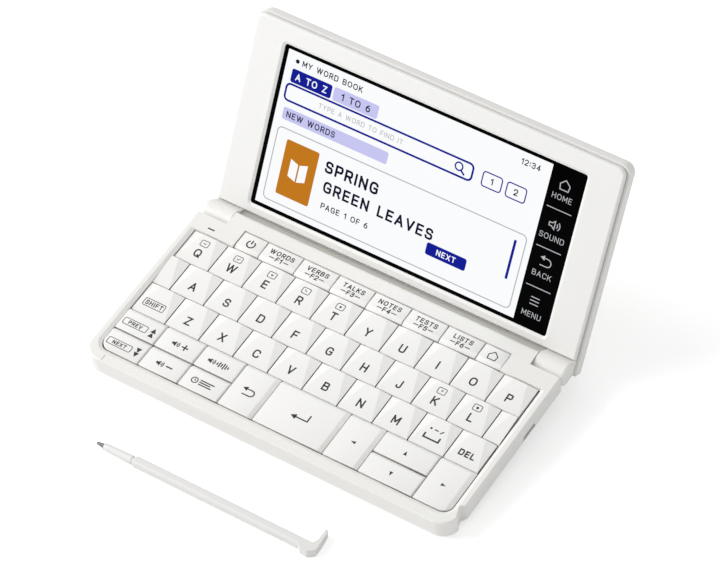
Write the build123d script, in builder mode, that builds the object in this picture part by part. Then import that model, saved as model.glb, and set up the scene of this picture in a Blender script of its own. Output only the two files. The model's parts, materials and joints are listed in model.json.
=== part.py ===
from build123d import *
import os
from math import acos, asin, atan2, cos, degrees, hypot, radians, sin, sqrt

os.makedirs("parts", exist_ok=True)

# Clamshell electronic dictionary: keyboard base, touch-screen lid and loose stylus.
# Millimetres and degrees. The base is drawn in deck coordinates: x to the right, y towards
# the hinge, z out of the keyboard, with y = 0 on the rear edge of the first letter row and
# z = 0 on the rim. The lid is drawn in lid coordinates: x to the right, u up the lid from
# the hinge axis, w out of the screen, with w = 0 on the front of the lid frame.
# The origin of the object is on the table, in the middle of the rear rubber foot.

# ---------------------------------------------------------------- keyboard sizes
key_pitch = 14.07  # one letter column
letter_columns = 10
letter_rows = 3
letter_row_depth = 13.35
block_row_depth = 9.7  # the two short rows in front of the letters
function_row_depth = 7.8
function_end_width = 9.95  # power key and home key
function_key_width = 14.77
function_key_count = 6
small_block_width = 16.3  # paired keys at the left of the front block
key_gap = 0.45  # between neighbouring keys
well_clearance = 0.2  # extra room between outer keys and the well wall
well_corner_radius = 4.0
key_travel = 0.9
rear_level = -0.05  # top of a key at its rear, from the rim
front_level = -1.15  # top of a letter key at its front
block_level = -0.15  # flat top of a key in the front block
function_level = -0.25
function_front_level = -0.8
function_slope_depth = 1.6
cap_bottom_level = -2.2
left_facet_width = 2.6
right_facet_width = 3.1
rear_facet_depth = 0.5
front_chamfer = 0.35
block_rear_depth = 1.1
block_rear_drop = 0.7
block_side_width = 1.6
plunger_radius = 1.4
plunger_clearance = 0.6
press_clearance = 0.1  # under a key that is fully pressed
dome_skin = 0.1

# ---------------------------------------------------------------- base sizes
side_margin = 3.65  # well edge to outer side
front_margin = 5.1
strip_depth = 6.2  # plain strip behind the function keys
base_depth = 8.7
parting_depth = 3.6  # seam between keyboard frame and lower case
plate_thickness = 1.6
wall = 1.3
floor_thickness = 1.2
base_corner_radius = 6.5
rim_chamfer = 0.5
lip_width = 1.3  # sloping lip round the key well
lip_drop = 0.7
lip_clearance = 0.1  # parts inside the frame stay this far below the lip
bottom_chamfer = 1.4
front_step_drop = 0.2  # shallow finger step in the front rim
front_step_inset = 8.0
front_step_depth = 2.9
rim_edge_radius = 1.5
mic_slot_length = 2.8
mic_slot_width = 0.6
mic_slot_depth = 0.5
mic_slot_inset = 5.3  # from the left edge of the well
mic_slot_y = 2.4
notch_depth = 2.1  # finger notch in the right side, near the front corner
notch_front_depth = 0.8
notch_front_inset = 5.6  # front end of the notch, from the front edge
notch_length = 4.3
notch_slant = 1.2  # run of its slanting rear end
notch_wall = 1.1  # skin behind the notch

# ---------------------------------------------------------------- hinge and battery tube
hinge_setback = 1.9  # hinge axis in front of the strip's rear edge
hinge_drop = 4.2  # hinge axis below the rim
knuckle_radius = 4.1
knuckle_length = 11.9
knuckle_clearance = 0.8
knuckle_end_radius = 1.2
knuckle_end_gap = 0.3
pin_radius = 1.2
pin_in_base = 9.0
pin_in_knuckle = 9.5
running_clearance = 0.04
cell_radius = 5.25
cell_body_length = 43.5
cell_nub_length = 1.0
cell_nub_radius = 1.9
cell_clearance = 0.2
tube_wall = 1.05
tube_behind_hinge = 3.1  # tube centre behind the hinge axis
tube_below_rim = 10.0
ramp_start = 12.0  # where the underside starts to swell, in front of the tube centre
contact_plate = 0.4
contact_size = 7.0
contact_spring_length = 4.6
contact_spring_radius = 2.6
cover_end_margin = 1.2
cover_low_angle = -81.0
cover_high_angle = 71.0
cover_clearance = 0.15
cover_rib_count = 5
cover_rib_pitch = 1.6
cover_rib_height = 0.3
cover_rib_length = 26.0

# ---------------------------------------------------------------- feet, screws and inner parts
front_foot_radius = 4.0
front_foot_height = 0.95
front_foot_inset = 8.5  # foot centre from the front edge
front_foot_spacing = 118.0
rear_foot_height = 0.6
rear_foot_pocket = 0.45
rear_foot_width = 3.0
rear_foot_length = 100.0
foot_pocket_clearance = 0.05
screw_radius = 0.6
screw_head_radius = 1.3
screw_head_height = 0.9
screw_length = 4.6
screw_inset = 2.45  # screw line from the outer side
boss_radius = 1.1
screw_front_y = -40.0
screw_rear_y = 1.0
board_thickness = 0.8
board_margin = 0.9  # board edge inside the well edge
board_front_gap = 1.6
post_radius = 1.6
chip_size = 12.0
chip_height = 1.0
chip_spots = ((-10, -25), (14, -25), (40, -38))
membrane_margin = 0.35
usb_width = 7.4
usb_height = 2.4
usb_length = 5.5
usb_y = -13.7
usb_clearance = 0.15
usb_shell = 0.3
usb_shell_radius = 0.6
usb_tongue = 0.6
speaker_radius = 8.0
speaker_height = 1.8
speaker_x = -48.0
speaker_y = -20.0
grille_hole_radius = 0.6
grille_pitch = 2.4
grille_rows = 5

# ---------------------------------------------------------------- lid sizes
lid_opening = 119.4  # from closed to the rest position
closed_gap = 0.2
lid_thickness = 8.1
lid_frame_depth = 2.3  # lid frame, front to seam
lid_frame_inset = 0.95
lid_wall = 1.3
lid_corner_radius = 3.9
lid_back_radius = 2.2
lid_overhang = 0.5  # the closed lid stands out past the front of the base, as a thumb grip
lid_tail = 2.8  # lid ends run this far past the hinge axis
lid_lower_edge = 3.6  # lower edge of the lid frame
lid_edge_rise = 4.4  # the lower edge rises this much from seam to back, clear of the tube
lid_edge_radius = 0.7  # soft front edges of the lid frame
lower_edge_slant = 1.2  # the frame's lower edge slants up to the seam, clear of the tube
neck_gap = 0.4  # dark line between a knuckle and the lid frame
seam_groove_width = 0.3
seam_groove_depth = 0.5
glass_width = 120.5
glass_height = 61.65
glass_thickness = 0.9
glass_clearance = 0.1
glass_recess = 0.65
glass_bottom = 7.25
glass_corner_radius = 1.0
bezel_slope_width = 1.0  # sloping lip of the lid frame round the glass
bezel_slope_depth = 0.55
lcd_width = 109.0
lcd_height = 59.6
lcd_thickness = 3.6
lcd_left_margin = 1.0  # display edge inside the glass's left edge
lcd_clearance = 0.15
rib_thickness = 1.2
rib_length = 46.0

# ---------------------------------------------------------------- stylus sizes
stylus_length = 88.5
stylus_bar = 3.4  # the barrel is a square bar with rounded edges
stylus_bar_radius = 0.9
stylus_nose_radius = 1.6
stylus_shoulder_radius = 1.35
stylus_tip_length = 3.3
stylus_nib_radius = 0.5
stylus_tip_root_radius = 0.9
stylus_taper_length = 1.2
stylus_taper_rise = 0.1
stylus_groove_from_tip = 14.6
stylus_groove_length = 1.3
stylus_groove_depth = 0.25
stylus_hook = (  # bent end, seen from above: distance before the blunt end, distance off the axis
    (6.8, -1.3),
    (5.2, -2.6),
    (2.2, -2.9),
    (0.0, -0.9),
    (0.2, 3.0),
    (1.1, 8.6),
    (1.9, 8.4),
    (1.7, 3.2),
    (2.6, 1.4),
    (6.8, 1.3),
)
stylus_hook_radius = 1.0
stylus_ahead_of_base = 27.15  # gap on the table between base and stylus axis
stylus_tip_x = -49.2

# ================================================================ derived places
well_width = letter_columns * key_pitch
half_well = well_width / 2
half_width = half_well + side_margin
well_front_y = -(letter_rows * letter_row_depth + 2 * block_row_depth)
front_y = well_front_y - front_margin
strip_rear_y = function_row_depth + strip_depth
function_width = function_key_count * function_key_width + 2 * function_end_width
hinge_y = strip_rear_y - hinge_setback
hinge_z = -hinge_drop
side_end_y = hinge_y - knuckle_radius - knuckle_clearance
block_half = half_width - knuckle_length - knuckle_end_gap  # half length of the tube
tube_y = hinge_y + tube_behind_hinge
tube_z = -tube_below_rim
cell_bore_radius = cell_radius + cell_clearance
tube_radius = cell_bore_radius + tube_wall
front_foot_y = front_y + front_foot_inset

# The table touches the front feet and runs tangent under the rear foot of the tube.
foot_circle = tube_radius + rear_foot_height
to_tube_y = tube_y - front_foot_y
to_tube_z = tube_z + base_depth + front_foot_height
to_tube = hypot(to_tube_y, to_tube_z)
tilt = asin(foot_circle / to_tube) - atan2(to_tube_z, to_tube_y)
table_level = tube_y * sin(tilt) + tube_z * cos(tilt) - foot_circle
rear_foot_y = tube_y * cos(tilt) - tube_z * sin(tilt)

deck = Plane(origin=(0, -rear_foot_y, -table_level), x_dir=(1, 0, 0), z_dir=(0, -sin(tilt), cos(tilt)))
side = Plane(origin=deck.origin, x_dir=deck.y_dir, z_dir=(1, 0, 0))

# The membrane lies on the board, just below the pressed keys.
membrane_top = cap_bottom_level - key_travel - press_clearance
plunger_end = membrane_top + press_clearance / 2
membrane_bottom = plunger_end - key_travel - dome_skin - press_clearance / 2
board_bottom = membrane_bottom - board_thickness
case_floor = -base_depth + floor_thickness

# Lid planes: front of the lid frame, and a side view about the hinge axis.
lid_lean = radians(180 - lid_opening) + tilt
hinge_point = deck.from_local_coords((0, hinge_y, hinge_z))
lid_setback = hinge_drop + closed_gap
lid_normal = Vector(0, -sin(lid_lean), cos(lid_lean))
lid_front = Plane(origin=hinge_point - lid_normal * lid_setback, x_dir=(1, 0, 0), z_dir=lid_normal)
lid_side = Plane(origin=hinge_point, x_dir=lid_front.y_dir, z_dir=(1, 0, 0))
lid_reach = hinge_y - front_y + lid_overhang
seam_level = -lid_frame_depth
knuckle_inner_x = half_width - knuckle_length
frame_half = half_width - lid_frame_inset
frame_top = lid_reach - lid_frame_inset

# Finger notch in the right side, seen from above: front end, floor and slanting rear end.
notch_front_y = front_y + notch_front_inset
notch_rear_y = notch_front_y + notch_length
notch_outside = half_width + notch_depth
notch_outline = (
    (notch_outside, notch_front_y),
    (half_width - notch_front_depth, notch_front_y),
    (half_width - notch_depth, notch_rear_y),
    (notch_outside, notch_rear_y + 2 * notch_slant),
    (notch_outside, notch_front_y),
)


# ================================================================ helpers
def prism(plane, low, high, x_size, y_size, center, radius=0.0, mode=Mode.ADD):
    """Add or cut a block between two levels of a plane, with rounded upright edges."""
    with BuildSketch(plane.offset(low)) as outline:
        with Locations(center):
            if radius > 0:
                RectangleRounded(x_size, y_size, radius)
            else:
                Rectangle(x_size, y_size)
    extrude(outline.sketch, amount=high - low, mode=mode)


def rod(plane, low, high, center, radius, mode=Mode.ADD):
    """Add or cut a round bar between two levels of a plane."""
    with BuildSketch(plane.offset(low)) as outline:
        with Locations(center):
            Circle(radius)
    extrude(outline.sketch, amount=high - low, mode=mode)


def mirrored_rods(plane, low, high, center, radius, mode=Mode.ADD):
    """A bar across the side plane and its mirror image on the other side of the object."""
    rod(plane, low, high, center, radius, mode)
    rod(plane, -high, -low, center, radius, mode)


def facet(plane, first, second, third):
    """The plane through three points of a frame, facing the frame's +Z."""
    a = plane.from_local_coords(first)
    b = plane.from_local_coords(second)
    c = plane.from_local_coords(third)
    normal = (b - a).cross(c - a)
    if normal.dot(plane.z_dir) < 0:
        normal = -normal
    return Plane(origin=a, z_dir=normal)


def cut_notch(low, high, pad_low, pad_high):
    """Cut the finger notch between two deck levels, with a thicker wall behind it."""
    pad_inside = half_width - notch_depth - notch_wall
    pad_outside = half_width - wall / 2
    pad_rear = notch_rear_y + notch_slant + notch_wall
    pad_front = notch_front_y - notch_wall
    prism(deck, pad_low, pad_high, pad_outside - pad_inside, pad_rear - pad_front,
          ((pad_outside + pad_inside) / 2, (pad_rear + pad_front) / 2))
    with BuildSketch(deck.offset(low)) as notch:
        with BuildLine():
            Polyline(*notch_outline)
        make_face()
    extrude(notch.sketch, amount=high - low, mode=Mode.SUBTRACT)


def save(builder, name):
    """Label a finished piece and write it to its own file."""
    builder.part.label = name
    export_step(builder.part, f"parts/{name}.step")


# ================================================================ keys
def cell(left, rear, width, depth):
    """Centre and size of the key that fills one cell of the grid."""
    center = (left - half_well + width / 2, rear - depth / 2)
    return center, width - key_gap, depth - key_gap


def key_body(center, width, depth, top, corner=None):
    """Plain cap with its plunger; corner picks the front corner that follows the well, 0 or -1."""
    with BuildSketch(deck.offset(cap_bottom_level)) as outline:
        with Locations(center):
            Rectangle(width, depth)
        if corner is not None:
            front_corners = outline.vertices().group_by(Axis.Y)[0].sort_by(Axis.X)
            fillet(front_corners[corner], well_corner_radius - key_gap / 2)
    extrude(outline.sketch, amount=top - cap_bottom_level)
    rod(deck, plunger_end, cap_bottom_level, center, plunger_radius)


def letter_key(name, left, rear):
    """Wedge that rises to the rear, with a facet falling away on each side."""
    center, width, depth = cell(left, rear, key_pitch, letter_row_depth)
    x0 = center[0] - width / 2
    x1 = center[0] + width / 2
    y0 = center[1] - depth / 2
    y1 = center[1] + depth / 2
    ridge_left = (x0 + left_facet_width, y1 - rear_facet_depth, rear_level)
    ridge_right = (x1 - right_facet_width, y1 - rear_facet_depth, rear_level)
    front_left = (x0, y0, front_level)
    front_right = (x1, y0, front_level)
    rear_left = (x0, y1, front_level)
    rear_right = (x1, y1, front_level)
    with BuildPart() as key:
        key_body(center, width, depth, rear_level)
        split(bisect_by=facet(deck, front_left, front_right, ridge_left), keep=Keep.BOTTOM)
        split(bisect_by=facet(deck, front_left, rear_left, ridge_left), keep=Keep.BOTTOM)
        split(bisect_by=facet(deck, front_right, rear_right, ridge_right), keep=Keep.BOTTOM)
        split(bisect_by=facet(deck, rear_left, rear_right, ridge_left), keep=Keep.BOTTOM)
        low = (x0, y0, front_level - front_chamfer)
        low_right = (x1, y0, front_level - front_chamfer)
        edge = (x0, y0 + front_chamfer, front_level)
        split(bisect_by=facet(deck, low, low_right, edge), keep=Keep.BOTTOM)
    save(key, name)


def block_key(name, left, rear, width, depth, corner=None):
    """Flat-topped key with a sloping rear edge and one bevelled right edge."""
    center, width, depth = cell(left, rear, width, depth)
    x0 = center[0] - width / 2
    x1 = center[0] + width / 2
    y1 = center[1] + depth / 2
    with BuildPart() as key:
        key_body(center, width, depth, block_level, corner)
        rear_left = (x0, y1, block_level - block_rear_drop)
        rear_right = (x1, y1, block_level - block_rear_drop)
        ridge = (x0, y1 - block_rear_depth, block_level)
        split(bisect_by=facet(deck, rear_left, rear_right, ridge), keep=Keep.BOTTOM)
        front_low = (x1, y1 - depth, block_level - block_rear_drop)
        ridge_right = (x1 - block_side_width, y1, block_level)
        split(bisect_by=facet(deck, front_low, rear_right, ridge_right), keep=Keep.BOTTOM)
    save(key, name)


# Letters, in their rows; SHIFT leads the third row and two command keys end it.
row_names = (
    ["key_" + letter for letter in "QWERTYUIOP"],
    ["key_" + letter for letter in "ASDFGHJKL"],
    ["key_shift"] + ["key_" + letter for letter in "ZXCVBNM"] + ["key_space", "key_delete"],
)
row_shift = (0.0, key_pitch / 2, 0.0)
plunger_spots = []
for row, names in enumerate(row_names):
    row_rear = -row * letter_row_depth
    for column, key_name in enumerate(names):
        key_left = row_shift[row] + column * key_pitch
        letter_key(key_name, key_left, row_rear)
        plunger_spots.append(cell(key_left, row_rear, key_pitch, letter_row_depth)[0])

# Front block: pairs of half-height keys at the left, full keys, and the cursor group.
block_rear_y = -letter_rows * letter_row_depth
updown_width = well_width - 3 * small_block_width - 5 * key_pitch
back_left = 3 * small_block_width
enter_left = back_left + key_pitch
left_arrow_left = enter_left + 2 * key_pitch
updown_left = left_arrow_left + key_pitch
right_arrow_left = updown_left + updown_width
half_keys = (
    ("key_previous", "key_next", 0.0, small_block_width),
    ("key_volume_up", "key_volume_down", small_block_width, small_block_width),
    ("key_sound", "key_history", 2 * small_block_width, small_block_width),
    ("key_up", "key_down", updown_left, updown_width),
)
for upper, lower, key_left, key_width in half_keys:
    lower_corner = 0 if key_left == 0.0 else None
    lower_rear = block_rear_y - block_row_depth
    block_key(upper, key_left, block_rear_y, key_width, block_row_depth)
    block_key(lower, key_left, lower_rear, key_width, block_row_depth, lower_corner)
    plunger_spots.append(cell(key_left, block_rear_y, key_width, block_row_depth)[0])
    plunger_spots.append(cell(key_left, lower_rear, key_width, block_row_depth)[0])
full_keys = (
    ("key_back", back_left, key_pitch, None),
    ("key_enter", enter_left, 2 * key_pitch, None),
    ("key_left", left_arrow_left, key_pitch, None),
    ("key_right", right_arrow_left, key_pitch, -1),
)
for key_name, key_left, key_width, key_corner in full_keys:
    block_key(key_name, key_left, block_rear_y, key_width, 2 * block_row_depth, key_corner)
    plunger_spots.append(cell(key_left, block_rear_y, key_width, 2 * block_row_depth)[0])

# Function row: power key, six wide keys and home key, low tiles with a sloping front.
function_widths = [function_end_width] + [function_key_width] * function_key_count + [function_end_width]
function_left = (well_width - function_width) / 2
with BuildPart() as function_keys:
    for index, tile_width in enumerate(function_widths):
        tile_left = function_left + sum(function_widths[:index])
        tile_center, tile_x, tile_y = cell(tile_left, function_row_depth, tile_width, function_row_depth)
        key_body(tile_center, tile_x, tile_y, function_level)
        plunger_spots.append(tile_center)
    slope_low = (0, key_gap / 2, function_front_level)
    slope_low_right = (1, key_gap / 2, function_front_level)
    slope_high = (0, key_gap / 2 + function_slope_depth, function_level)
    split(bisect_by=facet(deck, slope_low, slope_low_right, slope_high), keep=Keep.BOTTOM)
save(function_keys, "function_keys")

# ================================================================ keyboard frame
with BuildPart() as keyboard_frame:
    # Top plate and rim, out to the knuckles, with the strip block between them.
    with BuildSketch(deck.offset(-parting_depth)) as frame_outline:
        with Locations((0, (front_y + side_end_y) / 2)):
            Rectangle(2 * half_width, side_end_y - front_y)
        fillet(frame_outline.vertices().group_by(Axis.Y)[0], base_corner_radius)
    extrude(amount=parting_depth)
    top_edges = keyboard_frame.faces().sort_by(Axis(deck.origin, deck.z_dir))[-1].edges()
    chamfer(top_edges.sort_by(Axis(deck.origin, deck.y_dir))[:-1], rim_chamfer)
    block_depth = strip_rear_y - side_end_y + wall
    block_center_y = strip_rear_y - block_depth / 2
    prism(deck, -parting_depth, 0, 2 * block_half, block_depth, (0, block_center_y))
    strip_edge = keyboard_frame.edges().filter_by(Axis.X).group_by(Axis(deck.origin, deck.y_dir))[-1]
    fillet(strip_edge.sort_by(Axis(deck.origin, deck.z_dir))[-1], rim_edge_radius)
    # Hollow underside, left solid in front of the hinge bores.
    hollow_front = front_y + wall
    hollow_depth = side_end_y - wall - hollow_front
    hollow_center = (0, hollow_front + hollow_depth / 2)
    hollow_width = 2 * (half_width - wall)
    prism(deck, -parting_depth, -plate_thickness, hollow_width, hollow_depth, hollow_center,
          base_corner_radius - wall, Mode.SUBTRACT)
    # Ribs beside the well carry the screw bosses, which reach the case floor.
    screw_x = half_width - screw_inset
    rib_depth = screw_rear_y - screw_front_y + 4 * boss_radius
    rib_center_y = (screw_rear_y + screw_front_y) / 2
    for sign in (-1, 1):
        prism(deck, membrane_top, -plate_thickness, 2 * boss_radius, rib_depth, (sign * screw_x, rib_center_y))
        for screw_y in (screw_front_y, screw_rear_y):
            rod(deck, case_floor, membrane_top, (sign * screw_x, screw_y), boss_radius)
            screw_tip = -base_depth + screw_head_height + screw_length
            rod(deck, case_floor, screw_tip, (sign * screw_x, screw_y), screw_radius, Mode.SUBTRACT)
    # Key well with its sloping lip, and the slot for the function row behind it.
    well_depth = -well_front_y + well_clearance
    well_size = well_width + 2 * well_clearance
    with BuildSketch(deck) as well_outline:
        with Locations((0, -well_depth / 2)):
            Rectangle(well_size, well_depth)
        fillet(well_outline.vertices().group_by(Axis.Y)[0], well_corner_radius)
    extrude(amount=-parting_depth, mode=Mode.SUBTRACT)
    with BuildSketch(deck) as lip_top:
        with Locations((0, -(well_depth + lip_width) / 2)):
            Rectangle(well_size + 2 * lip_width, well_depth + lip_width)
        fillet(lip_top.vertices().group_by(Axis.Y)[0], well_corner_radius + lip_width)
    with BuildSketch(deck.offset(-lip_drop)) as lip_bottom:
        with Locations((0, -well_depth / 2)):
            Rectangle(well_size, well_depth)
        fillet(lip_bottom.vertices().group_by(Axis.Y)[0], well_corner_radius)
    loft(mode=Mode.SUBTRACT)
    slot_depth = function_row_depth + well_clearance + wall
    slot_size = function_width + 2 * well_clearance
    slot_center = (0, function_row_depth + well_clearance - slot_depth / 2)
    prism(deck, -parting_depth, 0, slot_size, slot_depth, slot_center, 0, Mode.SUBTRACT)
    # Blank caps at both ends of the second letter row are fixed to the frame.
    filler_width = key_pitch / 2 - key_gap / 2
    filler_depth = letter_row_depth - key_gap
    filler_y = -letter_row_depth - letter_row_depth / 2
    for sign in (-1, 1):
        filler_x = sign * (half_well + well_clearance - filler_width / 2)
        prism(deck, membrane_top + press_clearance, front_level, filler_width, filler_depth, (filler_x, filler_y))
    # Hinge bores, microphone slot, finger step in the front rim and finger notch in the side.
    bore_start = block_half - pin_in_base
    bore_radius = pin_radius + running_clearance
    mirrored_rods(side, bore_start, block_half, (hinge_y, hinge_z), bore_radius, Mode.SUBTRACT)
    mic_x = -half_well + mic_slot_inset
    prism(deck, -mic_slot_depth, 0, mic_slot_length, mic_slot_width, (mic_x, mic_slot_y), 0, Mode.SUBTRACT)
    step_width = 2 * (half_width - front_step_inset)
    step_center = (0, front_y + front_step_depth / 2)
    prism(deck, -front_step_drop, 0, step_width, front_step_depth, step_center, 0, Mode.SUBTRACT)
    cut_notch(-parting_depth, 0, -parting_depth, -lip_drop - lip_clearance)
save(keyboard_frame, "keyboard_frame")

# ================================================================ lower case
with BuildPart() as bottom_case:
    with BuildSketch(deck.offset(-base_depth)) as case_outline:
        with Locations((0, (front_y + side_end_y) / 2)):
            Rectangle(2 * half_width, side_end_y - front_y)
        fillet(case_outline.vertices().group_by(Axis.Y)[0], base_corner_radius)
    extrude(amount=base_depth - parting_depth)
    under_edges = bottom_case.faces().sort_by(Axis(deck.origin, deck.z_dir))[0].edges()
    chamfer(under_edges.sort_by(Axis(deck.origin, deck.y_dir))[:-1], bottom_chamfer)
    # Battery tube: the underside swells down to a round tube behind the keyboard.
    ramp = (tube_y - ramp_start, -base_depth)
    ramp_to_tube = hypot(tube_y - ramp[0], tube_z - ramp[1])
    ramp_angle = atan2(tube_z - ramp[1], tube_y - ramp[0]) - asin(tube_radius / ramp_to_tube)
    tangent = (tube_y + tube_radius * sin(ramp_angle), tube_z - tube_radius * cos(ramp_angle))
    tube_low = (tube_y + tube_radius * cos(radians(-45)), tube_z + tube_radius * sin(radians(-45)))
    seam_rise = -parting_depth - tube_z
    seam_reach = sqrt(tube_radius**2 - seam_rise**2) if seam_rise < tube_radius else 0.0
    tube_top = (tube_y + seam_reach, tube_z + min(seam_rise, tube_radius))
    with BuildSketch(side.offset(-block_half)) as tube_profile:
        with BuildLine():
            Line(ramp, tangent)
            ThreePointArc(tangent, tube_low, tube_top)
            Line(tube_top, (ramp[0], tube_top[1]))
            Line((ramp[0], tube_top[1]), ramp)
        make_face()
    extrude(amount=2 * block_half)
    # Inside of the tray.
    tray_front = front_y + wall
    tray_depth = side_end_y - wall - tray_front
    tray_center = (0, tray_front + tray_depth / 2)
    prism(deck, case_floor, -parting_depth, hollow_width, tray_depth, tray_center,
          base_corner_radius - wall, Mode.SUBTRACT)
    bay_depth = function_row_depth + well_clearance - tray_front
    prism(deck, case_floor, -parting_depth, function_width + 2 * well_clearance, bay_depth,
          (0, tray_front + bay_depth / 2), 0, Mode.SUBTRACT)
    cut_notch(-base_depth, -parting_depth, case_floor, -parting_depth)
    # Posts that carry the board.
    post_x = half_well - board_margin - 2 * post_radius
    post_rows = (well_front_y + board_front_gap + 3 * post_radius, usb_y + usb_width / 2 + 2 * post_radius)
    for sign in (-1, 1):
        for post_y in post_rows:
            rod(deck, case_floor, board_bottom, (sign * post_x, post_y), post_radius)
    # Battery bay, its rear opening for the cover, and the hinge bores beside it.
    bay_half = cell_body_length + cell_nub_length + (contact_spring_length + 2 * contact_plate) / 2
    rod(side, -bay_half, bay_half, (tube_y, tube_z), cell_bore_radius, Mode.SUBTRACT)
    mirrored_rods(side, bore_start, block_half, (hinge_y, hinge_z), bore_radius, Mode.SUBTRACT)
    cover_half = bay_half - cover_end_margin
    reach = 2 * tube_radius
    low_angle = radians(cover_low_angle)
    high_angle = radians(cover_high_angle)
    with BuildSketch(side.offset(-cover_half - cover_clearance)) as cover_cut:
        with BuildLine():
            Polyline(
                (tube_y, tube_z),
                (tube_y + reach * cos(low_angle), tube_z + reach * sin(low_angle)),
                (tube_y + reach, tube_z - reach),
                (tube_y + reach, tube_z + reach),
                (tube_y + reach * cos(high_angle), tube_z + reach * sin(high_angle)),
                (tube_y, tube_z),
            )
        make_face()
    extrude(amount=2 * (cover_half + cover_clearance), mode=Mode.SUBTRACT)
    # Openings: data socket, speaker grille, screw holes and foot pockets.
    usb_top = board_bottom
    usb_z = usb_top - usb_height / 2
    prism(side, half_width - 2 * wall, half_width, usb_width + 2 * usb_clearance,
          usb_height + 2 * usb_clearance, (usb_y, usb_z), usb_height / 2, Mode.SUBTRACT)
    with BuildSketch(deck.offset(-base_depth)) as grille:
        with Locations((speaker_x, speaker_y)):
            with HexLocations(grille_pitch / 2, grille_rows, grille_rows, major_radius=False):
                Circle(grille_hole_radius)
    extrude(grille.sketch, amount=floor_thickness, mode=Mode.SUBTRACT)
    for sign in (-1, 1):
        for screw_y in (screw_front_y, screw_rear_y):
            spot = (sign * screw_x, screw_y)
            rod(deck, -base_depth, -base_depth + screw_head_height, spot, screw_head_radius, Mode.SUBTRACT)
            rod(deck, -base_depth, case_floor, spot, screw_radius + running_clearance, Mode.SUBTRACT)
    pocket_top = rear_foot_height + rear_foot_pocket
    prism(Plane.XY, 0, pocket_top, rear_foot_length + 2 * foot_pocket_clearance,
          rear_foot_width + 2 * foot_pocket_clearance, (0, 0), 0, Mode.SUBTRACT)
save(bottom_case, "bottom_case")

# ================================================================ battery cover and batteries
with BuildPart() as battery_cover:
    rod(side, -cover_half, cover_half, (tube_y, tube_z), tube_radius)
    rod(side, -cover_half, cover_half, (tube_y, tube_z), cell_bore_radius, Mode.SUBTRACT)
    edge_angle = cover_clearance / tube_radius
    with BuildSketch(side.offset(-cover_half)) as cover_sector:
        with BuildLine():
            Polyline(
                (tube_y, tube_z),
                (tube_y + reach * cos(low_angle + edge_angle), tube_z + reach * sin(low_angle + edge_angle)),
                (tube_y + reach, tube_z - reach),
                (tube_y + reach, tube_z + reach),
                (tube_y + reach * cos(high_angle - edge_angle), tube_z + reach * sin(high_angle - edge_angle)),
                (tube_y, tube_z),
            )
        make_face()
    extrude(amount=2 * cover_half, mode=Mode.INTERSECT)
    # Thumb ribs on the rear of the cover.
    for index in range(cover_rib_count):
        rib_z = tube_z + (index - (cover_rib_count - 1) / 2) * cover_rib_pitch
        rib_root = tube_y + sqrt(cell_bore_radius**2 - (rib_z - tube_z) ** 2) + tube_wall / 2
        rib_tip = tube_y + sqrt(tube_radius**2 - (rib_z - tube_z) ** 2) + cover_rib_height
        prism(side, -cover_rib_length / 2, cover_rib_length / 2, rib_tip - rib_root,
              cover_rib_pitch / 2, ((rib_tip + rib_root) / 2, rib_z))
save(battery_cover, "battery_cover")

with BuildPart() as batteries:
    first_cell_x = -bay_half + contact_plate + contact_spring_length
    for index in range(2):
        cell_x = first_cell_x + index * (cell_body_length + cell_nub_length)
        cell_end = cell_x + cell_body_length - running_clearance
        rod(side, cell_x, cell_end, (tube_y, tube_z), cell_radius)
        rod(side, cell_end, cell_end + cell_nub_length, (tube_y, tube_z), cell_nub_radius)
save(batteries, "batteries")

with BuildPart() as battery_contacts:
    prism(side, -bay_half, -bay_half + contact_plate, contact_size, contact_size, (tube_y, tube_z))
    prism(side, bay_half - contact_plate, bay_half, contact_size, contact_size, (tube_y, tube_z))
    with BuildSketch(side.offset(-bay_half + contact_plate)) as spring_root:
        with Locations((tube_y, tube_z)):
            Circle(contact_spring_radius)
    with BuildSketch(side.offset(first_cell_x)) as spring_end:
        with Locations((tube_y, tube_z)):
            Circle(contact_spring_radius / 2)
    loft()
save(battery_contacts, "battery_contacts")

# ================================================================ electronics and small parts
with BuildPart() as key_membrane:
    membrane_depth = function_row_depth - well_front_y - 2 * membrane_margin
    membrane_center_y = (function_row_depth + well_front_y) / 2
    prism(deck, membrane_bottom, membrane_top, well_width - 2 * membrane_margin,
          -well_front_y - 2 * membrane_margin, (0, well_front_y / 2), well_corner_radius)
    prism(deck, membrane_bottom, membrane_top, function_width, membrane_depth, (0, membrane_center_y))
    with BuildSketch(deck.offset(membrane_bottom + dome_skin)) as domes:
        with Locations(*plunger_spots):
            Circle(plunger_radius + plunger_clearance)
    extrude(domes.sketch, amount=membrane_top - membrane_bottom - dome_skin, mode=Mode.SUBTRACT)
save(key_membrane, "key_membrane")

with BuildPart() as main_board:
    board_front_y = well_front_y + board_front_gap
    board_rear_y = side_end_y - wall - board_margin
    board_depth = board_rear_y - board_front_y
    board_center = (0, (board_rear_y + board_front_y) / 2)
    board_width = well_width - 2 * board_margin
    prism(deck, board_bottom, membrane_bottom, board_width, board_depth, board_center)
    # Processor and memory under the board, data socket at its right edge.
    for chip_spot in chip_spots:
        prism(deck, board_bottom - chip_height, board_bottom, chip_size, chip_size, chip_spot)
    socket_end = half_width - wall - usb_clearance
    usb_spot = (usb_y, usb_z)
    prism(side, socket_end - usb_length, socket_end, usb_width, usb_height, usb_spot, usb_shell_radius)
    usb_inside = (usb_width - 2 * usb_shell, usb_height - 2 * usb_shell)
    prism(side, socket_end - usb_length + usb_shell, socket_end, *usb_inside, usb_spot, 0, Mode.SUBTRACT)
    tongue_width = usb_width - 4 * usb_shell
    prism(side, socket_end - usb_length, socket_end - usb_shell, tongue_width, usb_tongue, usb_spot)
save(main_board, "main_board")

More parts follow.
